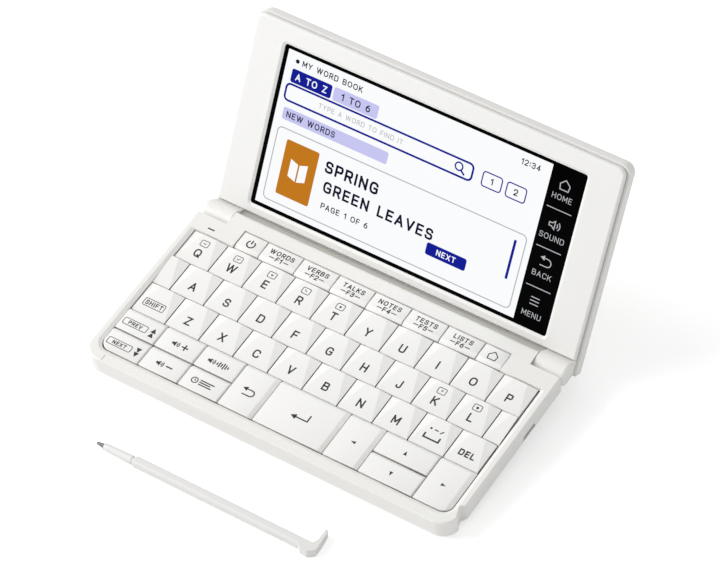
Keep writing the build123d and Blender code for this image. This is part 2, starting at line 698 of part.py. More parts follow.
with BuildPart() as speaker:
    rod(deck, case_floor, case_floor + speaker_height, (speaker_x, speaker_y), speaker_radius)
    speaker_rim = speaker.edges().filter_by(GeomType.CIRCLE).sort_by(Axis(deck.origin, deck.z_dir))[-1]
    chamfer(speaker_rim, speaker_height / 3)
save(speaker, "speaker")

with BuildPart() as rubber_feet:
    for sign in (-1, 1):
        foot_spot = (sign * front_foot_spacing / 2, front_foot_y)
        rod(deck, -base_depth - 2 * front_foot_height, -base_depth, foot_spot, front_foot_radius)
    prism(Plane.XY, 0, pocket_top, rear_foot_length, rear_foot_width, (0, 0))
    split(bisect_by=Plane.XY, keep=Keep.TOP)
save(rubber_feet, "rubber_feet")

with BuildPart() as case_screws:
    head_gap = running_clearance
    for sign in (-1, 1):
        for screw_y in (screw_front_y, screw_rear_y):
            spot = (sign * screw_x, screw_y)
            head_top = -base_depth + screw_head_height
            rod(deck, -base_depth + head_gap, head_top, spot, screw_head_radius - head_gap)
            rod(deck, head_top, head_top + screw_length - head_gap, spot, screw_radius)
save(case_screws, "case_screws")

with BuildPart() as hinge_pins:
    mirrored_rods(side, bore_start + knuckle_end_gap, knuckle_inner_x + pin_in_knuckle,
                  (hinge_y, hinge_z), pin_radius)
save(hinge_pins, "hinge_pins")

# ================================================================ lid
with BuildPart() as hinge_knuckles:
    # Barrel round the axis, and a neck that runs from the top of the barrel into the lid.
    neck_top = lid_lower_edge - neck_gap
    neck_depth = lid_setback + lid_frame_depth
    neck_reach = hypot(neck_top, lid_setback)
    neck_angle = atan2(-lid_setback, neck_top) + acos(knuckle_radius / neck_reach)
    neck_tangent = (knuckle_radius * cos(neck_angle), knuckle_radius * sin(neck_angle))
    for x_low in (-half_width, knuckle_inner_x):
        with BuildSketch(lid_side.offset(x_low)) as knuckle_profile:
            Circle(knuckle_radius)
        extrude(amount=knuckle_length)
    outer_rims = hinge_knuckles.edges().filter_by(GeomType.CIRCLE).group_by(Axis.X)
    fillet(outer_rims[0] + outer_rims[-1], knuckle_end_radius)
    for depth, neck_half in (
        (neck_depth - seam_groove_width, frame_half),
        (neck_depth, frame_half - seam_groove_depth),
    ):
        for x_low in (-neck_half, knuckle_inner_x):
            with BuildSketch(lid_side.offset(x_low)) as neck_profile:
                with BuildLine():
                    Polyline(
                        (0, 0),
                        neck_tangent,
                        (neck_top, -lid_setback),
                        (neck_top, -depth),
                        (-lid_tail, -depth),
                        (-lid_tail, -lid_setback / 2),
                        (0, 0),
                    )
                make_face()
            extrude(amount=neck_half - knuckle_inner_x)
    pin_end = knuckle_inner_x + pin_in_knuckle + running_clearance
    mirrored_rods(lid_side, knuckle_inner_x, pin_end, (0, 0), pin_radius, Mode.SUBTRACT)
save(hinge_knuckles, "hinge_knuckles")

with BuildPart() as lid_frame:
    # Narrower step along the seam, which leaves a dark groove, and the plate in front of it.
    for low, high, inset in (
        (seam_level, seam_level + seam_groove_width, seam_groove_depth),
        (seam_level + seam_groove_width, 0, 0),
    ):
        plate_half = frame_half - inset
        plate_top = frame_top - inset
        with BuildSketch(lid_front.offset(low)) as lid_outline:
            with Locations((0, (plate_top + lid_lower_edge) / 2)):
                Rectangle(2 * plate_half, plate_top - lid_lower_edge)
            fillet(lid_outline.vertices().group_by(Axis.Y)[-1], lid_corner_radius - lid_frame_inset)
        extrude(amount=high - low)
    front_edges = lid_frame.faces().sort_by(Axis(lid_front.origin, lid_front.z_dir))[-1].edges()
    fillet(front_edges, lid_edge_radius)
    # Between the knuckles the lower edge slants back.
    with BuildSketch(lid_side.offset(-knuckle_inner_x)) as slant_cut:
        with BuildLine():
            Polyline(
                (lid_lower_edge, -lid_setback - lid_edge_radius),
                (lid_lower_edge + lower_edge_slant, -lid_setback + seam_level),
                (lid_lower_edge - lower_edge_slant, -lid_setback + seam_level),
                (lid_lower_edge, -lid_setback - lid_edge_radius),
            )
        make_face()
    extrude(amount=2 * knuckle_inner_x, mode=Mode.SUBTRACT)
    # Opening for the glass with its sloping lip, and behind it the one for the display.
    glass_center = (0, glass_bottom + glass_height / 2)
    pocket_floor = -glass_recess - glass_thickness
    opening_width = glass_width + 2 * glass_clearance
    opening_height = glass_height + 2 * glass_clearance
    prism(lid_front, pocket_floor, 0, opening_width, opening_height, glass_center, glass_corner_radius,
          Mode.SUBTRACT)
    with BuildSketch(lid_front) as slope_top:
        with Locations(glass_center):
            RectangleRounded(opening_width + 2 * bezel_slope_width, opening_height + 2 * bezel_slope_width,
                             glass_corner_radius + bezel_slope_width)
    with BuildSketch(lid_front.offset(-bezel_slope_depth)) as slope_bottom:
        with Locations(glass_center):
            RectangleRounded(opening_width, opening_height, glass_corner_radius)
    loft(mode=Mode.SUBTRACT)
    lcd_x = -glass_width / 2 + lcd_left_margin + lcd_width / 2
    lcd_center = (lcd_x, glass_bottom + glass_height / 2)
    prism(lid_front, seam_level, 0, lcd_width + 2 * lcd_clearance, lcd_height + 2 * lcd_clearance,
          lcd_center, 0, Mode.SUBTRACT)
save(lid_frame, "lid_frame")

with BuildPart() as touch_panel:
    prism(lid_front, pocket_floor, -glass_recess, glass_width, glass_height, glass_center, glass_corner_radius)
save(touch_panel, "touch_panel")

with BuildPart() as lcd_module:
    prism(lid_front, pocket_floor - lcd_thickness, pocket_floor, lcd_width, lcd_height, lcd_center)
save(lcd_module, "lcd_module")

with BuildPart() as lid_back_cover:
    # Shell behind the seam; its ends run down past the hinge axis behind the knuckles.
    with BuildSketch(lid_front.offset(-lid_thickness)) as back_outline:
        with Locations((0, (lid_reach - lid_tail) / 2)):
            Rectangle(2 * half_width, lid_reach + lid_tail)
        fillet(back_outline.vertices().group_by(Axis.Y)[-1], lid_corner_radius)
    extrude(amount=lid_thickness + seam_level)
    back_edges = lid_back_cover.faces().sort_by(Axis(lid_front.origin, lid_front.z_dir))[0].edges()
    fillet(back_edges, lid_back_radius)
    # Between the knuckles the lower edge stops short and slants, clear of the battery tube.
    with BuildSketch(lid_side.offset(-knuckle_inner_x)) as edge_cut:
        with BuildLine():
            seam_depth = -lid_setback + seam_level
            back_depth = -lid_setback - lid_thickness
            Polyline(
                (lid_lower_edge + lower_edge_slant, seam_depth),
                (lid_lower_edge + lid_edge_rise, back_depth),
                (-lid_tail - lid_wall, back_depth),
                (-lid_tail - lid_wall, seam_depth),
                (lid_lower_edge + lower_edge_slant, seam_depth),
            )
        make_face()
    extrude(amount=2 * knuckle_inner_x, mode=Mode.SUBTRACT)
    lcd_back = pocket_floor - lcd_thickness
    lcd_low_edge = glass_bottom + (glass_height - lcd_height) / 2
    for low_edge, floor_level in (
        (lcd_low_edge - lcd_clearance, lcd_back - lcd_clearance),
        (lid_lower_edge + lid_wall + lid_edge_rise, -lid_thickness + lid_wall),
    ):
        inside_height = lid_reach - lid_wall - low_edge
        prism(lid_front, floor_level, seam_level, 2 * (half_width - lid_wall), inside_height,
              (0, low_edge + inside_height / 2), lid_corner_radius - lid_wall, Mode.SUBTRACT)
    # Ribs press the display against the glass.
    for rib_u in (glass_bottom + glass_height / 4, glass_bottom + 3 * glass_height / 4):
        prism(lid_front, -lid_thickness + lid_wall, lcd_back, rib_length, rib_thickness, (lcd_x, rib_u))
save(lid_back_cover, "lid_back_cover")

# ================================================================ stylus
stylus_y = deck.from_local_coords((0, front_y, -base_depth)).Y - stylus_ahead_of_base
stylus_axis = Plane(origin=(stylus_tip_x, stylus_y, stylus_bar / 2), x_dir=(1, 0, 0), z_dir=(0, 0, 1))
stylus_section = Plane(origin=stylus_axis.origin, x_dir=(0, 1, 0), z_dir=(1, 0, 0))
with BuildPart() as stylus:
    # Bent end: a rounded claw in front and a thin blade behind.
    with BuildSketch(stylus_axis.offset(-stylus_bar / 2)) as hook_plan:
        with BuildLine():
            hook = [(stylus_length - before, off) for before, off in stylus_hook]
            Polyline(*hook, close=True)
        make_face()
        fillet(hook_plan.vertices().group_by(Axis.Y)[0], stylus_hook_radius)
    extrude(amount=stylus_bar)
    # Square bar, and a round nose beyond a groove.
    groove_end = stylus_groove_from_tip + stylus_groove_length
    groove_radius = stylus_nose_radius - stylus_groove_depth
    bar_end = stylus_length - stylus_hook[1][0]
    prism(stylus_section, groove_end, bar_end, stylus_bar, stylus_bar, (0, 0), stylus_bar_radius)
    with BuildSketch(stylus_axis) as nose_half:
        with BuildLine():
            Polyline(
                (stylus_tip_length, 0),
                (stylus_tip_length, stylus_shoulder_radius - stylus_taper_rise),
                (stylus_tip_length + stylus_taper_length, stylus_shoulder_radius),
                (stylus_groove_from_tip, stylus_nose_radius),
                (stylus_groove_from_tip + stylus_groove_depth, groove_radius),
                (groove_end, groove_radius),
                (groove_end, 0),
                (stylus_tip_length, 0),
            )
        make_face()
    revolve(axis=Axis(stylus_axis.origin, (1, 0, 0)))
save(stylus, "stylus")

with BuildPart() as stylus_tip:
    with BuildSketch(stylus_axis) as tip_half:
        with BuildLine():
            Line((stylus_tip_length, 0), (stylus_tip_length, stylus_tip_root_radius))
            Line((stylus_tip_length, stylus_tip_root_radius), (stylus_nib_radius, stylus_nib_radius))
            RadiusArc((stylus_nib_radius, stylus_nib_radius), (0, 0), -stylus_nib_radius)
            Line((0, 0), (stylus_tip_length, 0))
        make_face()
    revolve(axis=Axis(stylus_axis.origin, (1, 0, 0)))
save(stylus_tip, "stylus_tip")

print("tilt", round(degrees(tilt), 3), "deck origin", deck.origin, "hinge", hinge_point)
print("lid lean", round(degrees(lid_lean), 3), "lid origin", lid_front.origin, "stylus y", round(stylus_y, 3))
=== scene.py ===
import json
from math import cos, radians, sin

import bpy
from mathutils import Matrix, Vector

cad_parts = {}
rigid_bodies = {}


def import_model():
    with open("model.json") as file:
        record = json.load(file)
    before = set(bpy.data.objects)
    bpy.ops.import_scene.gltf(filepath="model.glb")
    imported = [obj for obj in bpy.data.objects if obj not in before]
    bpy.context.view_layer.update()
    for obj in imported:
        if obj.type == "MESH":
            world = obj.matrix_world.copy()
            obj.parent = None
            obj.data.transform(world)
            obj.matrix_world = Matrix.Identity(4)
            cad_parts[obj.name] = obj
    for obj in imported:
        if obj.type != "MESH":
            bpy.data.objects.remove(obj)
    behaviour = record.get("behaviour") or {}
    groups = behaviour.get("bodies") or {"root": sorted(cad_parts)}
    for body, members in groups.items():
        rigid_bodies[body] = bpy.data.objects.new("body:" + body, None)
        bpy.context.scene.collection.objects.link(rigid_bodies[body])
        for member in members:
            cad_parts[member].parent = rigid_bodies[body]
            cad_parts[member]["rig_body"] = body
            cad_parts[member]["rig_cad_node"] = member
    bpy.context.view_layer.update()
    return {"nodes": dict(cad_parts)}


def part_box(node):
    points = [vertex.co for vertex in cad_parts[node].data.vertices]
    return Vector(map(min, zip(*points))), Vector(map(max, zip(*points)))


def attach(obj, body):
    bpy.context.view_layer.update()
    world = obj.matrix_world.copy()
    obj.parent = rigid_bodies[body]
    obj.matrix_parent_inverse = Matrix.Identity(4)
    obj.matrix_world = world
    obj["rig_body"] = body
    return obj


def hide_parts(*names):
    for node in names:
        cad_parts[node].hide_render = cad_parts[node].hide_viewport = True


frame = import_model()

nodes = frame["nodes"]
MM = 0.001  # shapes below are drawn in millimetres


# ================================================================ camera
# A long lens looks down on the open dictionary from the right of its front.
def place_camera(name, place, forward, right, lens):
    """A camera at a place, looking along forward, with right to its right."""
    forward = Vector(forward).normalized()
    right = Vector(right)
    right = (right - forward * right.dot(forward)).normalized()
    up = right.cross(forward)
    data = bpy.data.cameras.new(name)
    data.lens = lens
    data.clip_start = 0.05
    data.clip_end = 30.0
    camera = bpy.data.objects.new(name, data)
    turn = Matrix((right, up, -forward)).transposed().to_4x4()
    camera.matrix_world = Matrix.Translation(Vector(place)) @ turn
    bpy.context.scene.collection.objects.link(camera)
    bpy.context.scene.camera = camera


place_camera(
    "camera",
    place=(0.49320, -0.78596, 0.98631),
    forward=(-0.37296, 0.58010, -0.72415),
    right=(0.84228, 0.53904, -0.00200),
    lens=194.25,
)


# ================================================================ casing
# The lower case, the battery cover and the lid's back are injection-moulded in warm white
# ABS. The mould is spark-eroded, which leaves a very fine satin grain on the outside.
def new_material(name):
    """A new material, its node tree and its Principled shader."""
    material = bpy.data.materials.new(name)
    material.use_nodes = True
    tree = material.node_tree
    return material, tree, tree.nodes["Principled BSDF"]


def new_group(name, inputs, outputs):
    """An empty shader node group with named sockets, and its input and output nodes."""
    group = bpy.data.node_groups.new(name, "ShaderNodeTree")
    for label, kind, value in inputs:
        socket = group.interface.new_socket(label, in_out="INPUT", socket_type="NodeSocket" + kind)
        socket.default_value = value
    for label, kind in outputs:
        group.interface.new_socket(label, in_out="OUTPUT", socket_type="NodeSocket" + kind)
    return group, group.nodes.new("NodeGroupInput"), group.nodes.new("NodeGroupOutput")


def feed(tree, node, inputs):
    """Set inputs of a node to a value, or link them to a socket."""
    for label, value in inputs.items():
        if isinstance(value, bpy.types.NodeSocket):
            tree.links.new(value, node.inputs[label])
        else:
            node.inputs[label].default_value = value


def add_node(tree, kind, inputs, **settings):
    """A shader node with its settings and inputs."""
    node = tree.nodes.new("ShaderNode" + kind)
    for key, value in settings.items():
        setattr(node, key, value)
    feed(tree, node, inputs)
    return node


def object_place(tree):
    """The place of a shaded point in metres, in the frame that every piece shares."""
    return add_node(tree, "TexCoord", {}).outputs["Object"]


def maths(tree, operation, first, second):
    """One step of arithmetic on two values."""
    return add_node(tree, "Math", {0: first, 1: second}, operation=operation).outputs[0]


def mixed(tree, factor, first, second):
    """A colour that goes from first to second as factor goes from 0 to 1."""
    inputs = {0: factor, 6: first, 7: second}
    return add_node(tree, "Mix", inputs, data_type="RGBA").outputs[2]


def build_moulded_skin():
    """Node group: drifting tone, patches that shine a little more, and the grain of the mould."""
    group, given, made = new_group(
        "moulded skin",
        (
            ("Colour", "Color", (0.8, 0.8, 0.8, 1)),
            ("Shade", "Color", (0.7, 0.7, 0.7, 1)),
            ("Smooth", "Float", 0.3),
            ("Dull", "Float", 0.5),
            ("Patch Scale", "Float", 60.0),
            ("Grain Scale", "Float", 3000.0),
            ("Grain Depth", "Float", 0.000004),
        ),
        (("Colour", "Color"), ("Roughness", "Float"), ("Normal", "Vector")),
    )
    place = object_place(group)
    take = given.outputs
    drift = add_node(group, "TexNoise", {"Vector": place, "Scale": take["Patch Scale"], "Detail": 3.0})
    grain = add_node(group, "TexNoise", {"Vector": place, "Scale": take["Grain Scale"], "Detail": 2.0})
    reach = {"From Min": 0.3, "From Max": 0.7, "To Min": take["Smooth"], "To Max": take["Dull"]}
    shine = add_node(group, "MapRange", {"Value": drift.outputs["Fac"], **reach})
    relief = add_node(group, "Bump", {"Height": grain.outputs["Fac"], "Distance": take["Grain Depth"]})
    tone = mixed(group, drift.outputs["Fac"], take["Colour"], take["Shade"])
    fleck = add_node(group, "MapRange", {"Value": grain.outputs["Fac"], "To Min": 0.0, "To Max": 0.35})
    tone = mixed(group, fleck.outputs["Result"], tone, take["Shade"])
    results = {"Colour": tone, "Roughness": shine.outputs["Result"], "Normal": relief.outputs["Normal"]}
    feed(group, made, results)
    return group


moulded_skin = build_moulded_skin()


def finished(name, group, *values):
    """A material whose colour, roughness and relief come from a node group with set inputs."""
    material, tree, shader = new_material(name)
    skin = tree.nodes.new("ShaderNodeGroup")
    skin.node_tree = group
    for socket, value in zip(skin.inputs, values):
        socket.default_value = value
    colour, roughness, normal = skin.outputs
    feed(tree, shader, {"Base Color": colour, "Roughness": roughness, "Normal": normal})
    return material, shader


def moulded(name, colour, shade, smooth, dull, patch=60.0, grain=3000.0, depth=0.000004):
    """A plastic or rubber with the moulded skin."""
    return finished(name, moulded_skin, (*colour, 1), (*shade, 1), smooth, dull, patch, grain, depth)


def set_material(piece, material):
    """Give a piece one material all over."""
    piece.data.materials.clear()
    piece.data.materials.append(material)


# The keyboard deck and the lid have frames of their own, turned about X from the table.
DECK_TILT = radians(6.0)
deck_place = Matrix.Translation((0, -16.1621 * MM, 15.4563 * MM)) @ Matrix.Rotation(DECK_TILT, 4, "X")
lid_place = Matrix.Translation((0, 0.348815 * MM, 10.7967 * MM)) @ Matrix.Rotation(radians(66.6), 4, "X")


def along(tree, frame_place, axis):
    """The coordinate of a point along one axis of a frame, in metres."""
    direction = frame_place.to_3x3().col[axis]
    place = object_place(tree)
    reach = add_node(tree, "VectorMath", {0: place, 1: direction}, operation="DOT_PRODUCT")
    start = frame_place.translation.dot(direction)
    return maths(tree, "SUBTRACT", reach.outputs["Value"], start)


def within(tree, value, low, high, edge):
    """A mask that is 1 between two values in millimetres, with soft edges."""
    rise = add_node(tree, "MapRange", {0: value, 1: (low - edge) * MM, 2: (low + edge) * MM})
    fall = add_node(tree, "MapRange", {0: value, 1: (high + edge) * MM, 2: (high - edge) * MM})
    return maths(tree, "MULTIPLY", rise.outputs[0], fall.outputs[0])


def toned(shader, tree, mask, tone):
    """Mix a tone over the base colour where a mask is 1."""
    base = shader.inputs["Base Color"].links[0].from_socket
    tree.links.new(mixed(tree, mask, base, (*tone, 1)), shader.inputs["Base Color"])


shell_look = ((0.870, 0.862, 0.836), (0.840, 0.832, 0.808), 0.36, 0.46)
shell_white, shader = moulded("shell white", *shell_look)
for name in ("lid_back_cover", "keyboard_frame"):
    set_material(nodes[name], shell_white)
# The bottom of the trench between the case and the lid is painted grey-brown: painted shade for the trench
# under the lid.
trench_shaded_white, shader = moulded("trench shaded white", *shell_look)
tree = trench_shaded_white.node_tree
trench = within(tree, along(tree, deck_place, 1), 13.7, 19.0, 0.3)
floor = within(tree, along(tree, deck_place, 2), -4.7, -3.2, 0.2)
# painted shade: grey-brown where the trench floor lies in the shade of the lid
toned(shader, tree, maths(tree, "MULTIPLY", trench, floor), (0.50, 0.485, 0.45))
for name in ("bottom_case", "battery_cover"):
    set_material(nodes[name], trench_shaded_white)

# ================================================================ hinge
# The knuckles are glossier ABS mouldings. A turned steel pin runs through each of them.
knuckle_white, shader = moulded("knuckle white", (0.870, 0.862, 0.836), (0.845, 0.838, 0.812), 0.26, 0.34)
set_material(nodes["hinge_knuckles"], knuckle_white)


def build_machined():
    """Node group: fine turning or rolling lines across X, with slight tarnish."""
    group, given, made = new_group(
        "machined",
        (
            ("Colour", "Color", (0.6, 0.6, 0.6, 1)),
            ("Tarnish", "Color", (0.4, 0.4, 0.4, 1)),
            ("Line Scale", "Float", 900.0),
            ("Line Depth", "Float", 0.000006),
        ),
        (("Colour", "Color"), ("Roughness", "Float"), ("Normal", "Vector")),
    )
    place = object_place(group)
    take = given.outputs
    stretch = add_node(group, "Mapping", {"Vector": place, "Scale": (1.0, 0.06, 0.06)})
    inputs = {"Vector": stretch.outputs["Vector"], "Scale": take["Line Scale"], "Detail": 4.0}
    lines = add_node(group, "TexNoise", inputs)
    stain = add_node(group, "TexNoise", {"Vector": place, "Scale": 250.0, "Detail": 4.0})
    tone = mixed(group, stain.outputs["Fac"], take["Colour"], take["Tarnish"])
    rough = add_node(group, "MapRange", {"Value": lines.outputs["Fac"], "To Min": 0.18, "To Max": 0.5})
    relief = add_node(group, "Bump", {"Height": lines.outputs["Fac"], "Distance": take["Line Depth"]})
    results = {"Colour": tone, "Roughness": rough.outputs["Result"], "Normal": relief.outputs["Normal"]}
    feed(group, made, results)
    return group


machined_skin = build_machined()


def machined(name, colour, tarnish, scale):
    """A bare metal with machining lines."""
    material, shader = finished(name, machined_skin, (*colour, 1), (*tarnish, 1), scale)
    shader.inputs["Metallic"].default_value = 1.0
    return material


pin_steel = machined("pin steel", (0.56, 0.56, 0.57), (0.42, 0.41, 0.40), 1400.0)
set_material(nodes["hinge_pins"], pin_steel)

# ================================================================ screws and contacts
# Small zinc-plated self-tapping screws hold the case; the contacts are nickel-plated springs.
zinc = machined("zinc plate", (0.66, 0.67, 0.69), (0.50, 0.50, 0.52), 2200.0)
set_material(nodes["case_screws"], zinc)
nickel = machined("nickel plate", (0.70, 0.67, 0.61), (0.55, 0.52, 0.46), 1800.0)
set_material(nodes["battery_contacts"], nickel)


# ================================================================ battery cells
# Two AAA cells: a printed sleeve round a steel can, bare at both ends.
CELL_LENGTH = 44.6 * MM
BAND_START = 33.0 * MM


def cell_sleeve():
    """Dark sleeve with a lighter band near the positive end, repeated along the tube."""
    material, tree, shader = new_material("cell sleeve")
    place = object_place(tree)
    tube_x = add_node(tree, "SeparateXYZ", {"Vector": place}).outputs["X"]
    cell_x = maths(tree, "PINGPONG", tube_x, CELL_LENGTH)
    near_end = maths(tree, "GREATER_THAN", cell_x, BAND_START)
    wear = add_node(tree, "TexNoise", {"Vector": place, "Scale": 400.0, "Detail": 5.0}).outputs["Fac"]
    dark = mixed(tree, wear, (0.035, 0.045, 0.06, 1), (0.06, 0.07, 0.09, 1))
    pale = mixed(tree, wear, (0.45, 0.30, 0.13, 1), (0.38, 0.25, 0.10, 1))
    tone = mixed(tree, near_end, dark, pale)
    rough = add_node(tree, "MapRange", {"Value": wear, "To Min": 0.25, "To Max": 0.4}).outputs["Result"]
    feed(tree, shader, {"Base Color": tone, "Roughness": rough, "Coat Weight": 0.3})
    return material


set_material(nodes["batteries"], cell_sleeve())


# ================================================================ circuit board
# A green fibreglass board: copper tracks under solder mask and chips. Its data socket is painted near
# black: painted shade for the inside of its opening.
SOCKET_X = 69.7 * MM  # the metal data socket is further out than this


def board_surface():
    """Green mask over a grid of tracks; the data socket at the right end is painted near black as painted
    shade.
    """
    material, tree, shader = new_material("solder mask")
    place = object_place(tree)
    flat = add_node(tree, "Mapping", {"Vector": place, "Rotation": (-DECK_TILT, 0.0, 0.0)})
    tracks = add_node(
        tree,
        "TexBrick",
        {
            "Vector": flat.outputs["Vector"],
            "Scale": 900.0,
            "Mortar Size": 0.08,
            "Color1": (0.012, 0.11, 0.045, 1),
            "Color2": (0.010, 0.09, 0.036, 1),
            "Mortar": (0.03, 0.20, 0.08, 1),
        },
    )
    mottle = add_node(tree, "TexNoise", {"Vector": place, "Scale": 300.0}).outputs["Fac"]
    tone = mixed(tree, mottle, tracks.outputs["Color"], (0.010, 0.085, 0.033, 1))
    across = add_node(tree, "SeparateXYZ", {"Vector": place}).outputs["X"]
    # painted shade: the metal data socket is near black, for the shade inside its opening
    tone = mixed(tree, maths(tree, "GREATER_THAN", across, SOCKET_X), tone, (0.012, 0.012, 0.013, 1))
    relief = add_node(tree, "Bump", {"Height": tracks.outputs["Fac"], "Distance": 0.03 * MM})
    feed(tree, shader, {"Base Color": tone, "Normal": relief.outputs["Normal"], "Roughness": 0.3})
    return material


set_material(nodes["main_board"], board_surface())

# ================================================================ key membrane and feet
# The domes under the keys are one sheet of grey silicone; the feet are firmer grey rubber.
silicone, shader = moulded("silicone", (0.42, 0.43, 0.44), (0.34, 0.35, 0.36), 0.5, 0.65, 90.0, 1500.0)
shader.inputs["Subsurface Weight"].default_value = 0.1
shader.inputs["Subsurface Radius"].default_value = (0.002, 0.002, 0.002)
set_material(nodes["key_membrane"], silicone)
foot_rubber, shader = moulded(
    "foot rubber", (0.36, 0.36, 0.35), (0.27, 0.27, 0.27), 0.7, 0.9, 150.0, 1800.0, 0.00002
)
set_material(nodes["rubber_feet"], foot_rubber)


# ================================================================ loudspeaker
# A pressed steel basket round a coated paper cone with rings rolled into it.
def speaker_cone():
    """Grey metal with rings about the middle of the loudspeaker."""
    material, tree, shader = new_material("speaker metal")
    low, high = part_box("speaker")
    middle = (low + high) / 2
    place = object_place(tree)
    centred = add_node(tree, "Mapping", {"Vector": place, "Location": tuple(-middle)})
    inputs = {"Vector": centred.outputs["Vector"], "Scale": 220.0}
    rings = add_node(tree, "TexWave", inputs, wave_type="RINGS", rings_direction="Z")
    tone = mixed(tree, rings.outputs["Fac"], (0.30, 0.30, 0.31, 1), (0.45, 0.45, 0.46, 1))
    relief = add_node(tree, "Bump", {"Height": rings.outputs["Fac"], "Distance": 0.1 * MM})
    feed(tree, shader, {"Base Color": tone, "Normal": relief.outputs["Normal"]})
    feed(tree, shader, {"Metallic": 0.8, "Roughness": 0.42})
    return material


set_material(nodes["speaker"], speaker_cone())


# ================================================================ key caps
# Every cap is moulded in white ABS with crisp facets: the letter keys rise to the rear and
# fall away on both sides. The tool leaves a small radius on each edge of the cap.
def cleaned(piece, merge=0.0, flat=False):
    """Pick a piece alone, merge its doubled points and turn its faces outwards."""
    bpy.ops.object.select_all(action="DESELECT")
    bpy.context.view_layer.objects.active = piece
    piece.select_set(True)
    bpy.ops.object.mode_set(mode="EDIT")
    bpy.ops.mesh.select_all(action="SELECT")
    if merge:
        bpy.ops.mesh.remove_doubles(threshold=merge)
    if flat:
        bpy.ops.mesh.dissolve_limited(angle_limit=radians(0.5))
    bpy.ops.mesh.normals_make_consistent(inside=False)
    bpy.ops.object.mode_set(mode="OBJECT")


DECK_UP = deck_place.to_3x3().col[2]
FOOT_LEVEL = -2.1  # deck level above which the edges of a cap are rounded
FACET_BEND, EDGE_BEND = radians(2.0), radians(12.0)  # least bend of a facet's line and of an edge


def softened(node_name, piece_name, radius, steps, shapers=()):
    """A copy of a cap, reshaped in the deck's frame, with small radii on its upper edges."""
    piece = nodes[node_name].copy()
    piece.data = nodes[node_name].data.copy()
    piece.parent = None
    piece.name = piece_name
    piece.data.name = piece_name
    bpy.context.scene.collection.objects.link(piece)
    cleaned(piece, merge=0.001 * MM, flat=True)
    bpy.ops.object.shade_smooth()
    mesh = piece.data
    to_deck = deck_place.inverted()
    points = [to_deck @ v.co / MM for v in mesh.vertices]
    high = [point.z > FOOT_LEVEL for point in points]
    for shaper in shapers:
        shaper(points)
        for vertex, point in zip(mesh.vertices, points):
            vertex.co = deck_place @ (point * MM)
    mesh.update()
    weights = mesh.attributes.new("bevel_weight_edge", "FLOAT", "EDGE")
    crisp = mesh.attributes.new("sharp_edge", "BOOLEAN", "EDGE")
    faces_of = {}
    for face in mesh.polygons:
        for key in face.edge_keys:
            faces_of.setdefault(key, []).append(face.normal)
    for edge in mesh.edges:
        normals = faces_of.get(tuple(sorted(edge.vertices)), ())
        if len(normals) != 2:
            continue
        bend = normals[0].angle(normals[1], 0.0)
        facet = min(n.dot(DECK_UP) for n in normals) > 0.5 and bend > FACET_BEND
        if bend > EDGE_BEND and high[edge.vertices[0]] and high[edge.vertices[1]]:
            weights.data[edge.index].value = 1.0
        elif facet or bend > EDGE_BEND:
            crisp.data[edge.index].value = True
    rounding = piece.modifiers.new("edge radius", "BEVEL")
    rounding.limit_method = "WEIGHT"
    rounding.width = radius * MM
    rounding.segments = steps
    rounding.harden_normals = True
    bpy.ops.object.modifier_apply(modifier=rounding.name)
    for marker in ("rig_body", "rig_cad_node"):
        if marker in piece:
            del piece[marker]
    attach(piece, node_name)
    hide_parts(node_name)
    return piece


def key_plastic(name, wall_shade, level):
    """Satin white on top; below a deck level the upright sides, seen only in the gaps, carry painted shade
    in grey.
    """
    material, shader = moulded(name, (0.885, 0.878, 0.858), (0.862, 0.855, 0.834), 0.30, 0.42, 120.0)
    tree = material.node_tree
    normal = add_node(tree, "TexCoord", {}).outputs["Normal"]
    facing = add_node(tree, "VectorMath", {0: normal, 1: DECK_UP}, operation="DOT_PRODUCT")
    top = add_node(tree, "MapRange", {"Value": facing.outputs["Value"], "From Min": 0.15, "From Max": 0.55})
    limits = {1: (level - 0.15) * MM, 2: (level + 0.15) * MM}
    high = add_node(tree, "MapRange", {0: along(tree, deck_place, 2), **limits})
    unshaded = maths(tree, "MAXIMUM", top.outputs[0], high.outputs[0])
    toned(shader, tree, maths(tree, "SUBTRACT", 1.0, unshaded), wall_shade)
    return material


RIDGE_LEVEL = -0.6  # only the ridge at the rear of a letter key is higher than this
LEFT_SPREAD, RIGHT_SPREAD = 1.4, 1.05
BLOCK_BEVEL, TRIMMED_BEVEL = 1.6, 0.4
SIDE_GAP = 0.5


def spread_facets(points):
    """Move the two ends of a letter key's ridge inwards, which widens its side facets."""
    left = min(p.x for p in points)
    right = max(p.x for p in points)
    for p in points:
        if p.z > RIDGE_LEVEL:
            p.x += LEFT_SPREAD if p.x - left < right - p.x else -RIGHT_SPREAD


def trimmed_side(points):
    """Narrow the bevel at the right of a half-height key."""
    right = max(p.x for p in points)
    for p in points:
        if abs(right - p.x - BLOCK_BEVEL) < 0.1:
            p.x = right - TRIMMED_BEVEL


def narrowed(points):
    """Draw in the right half, which leaves a wider gap beside the well."""
    middle = (min(p.x for p in points) + max(p.x for p in points)) / 2
    for p in points:
        if p.x > middle:
            p.x -= SIDE_GAP


ABOVE_ALL = 5.0  # no cap is this high, so every upright side carries the painted shade
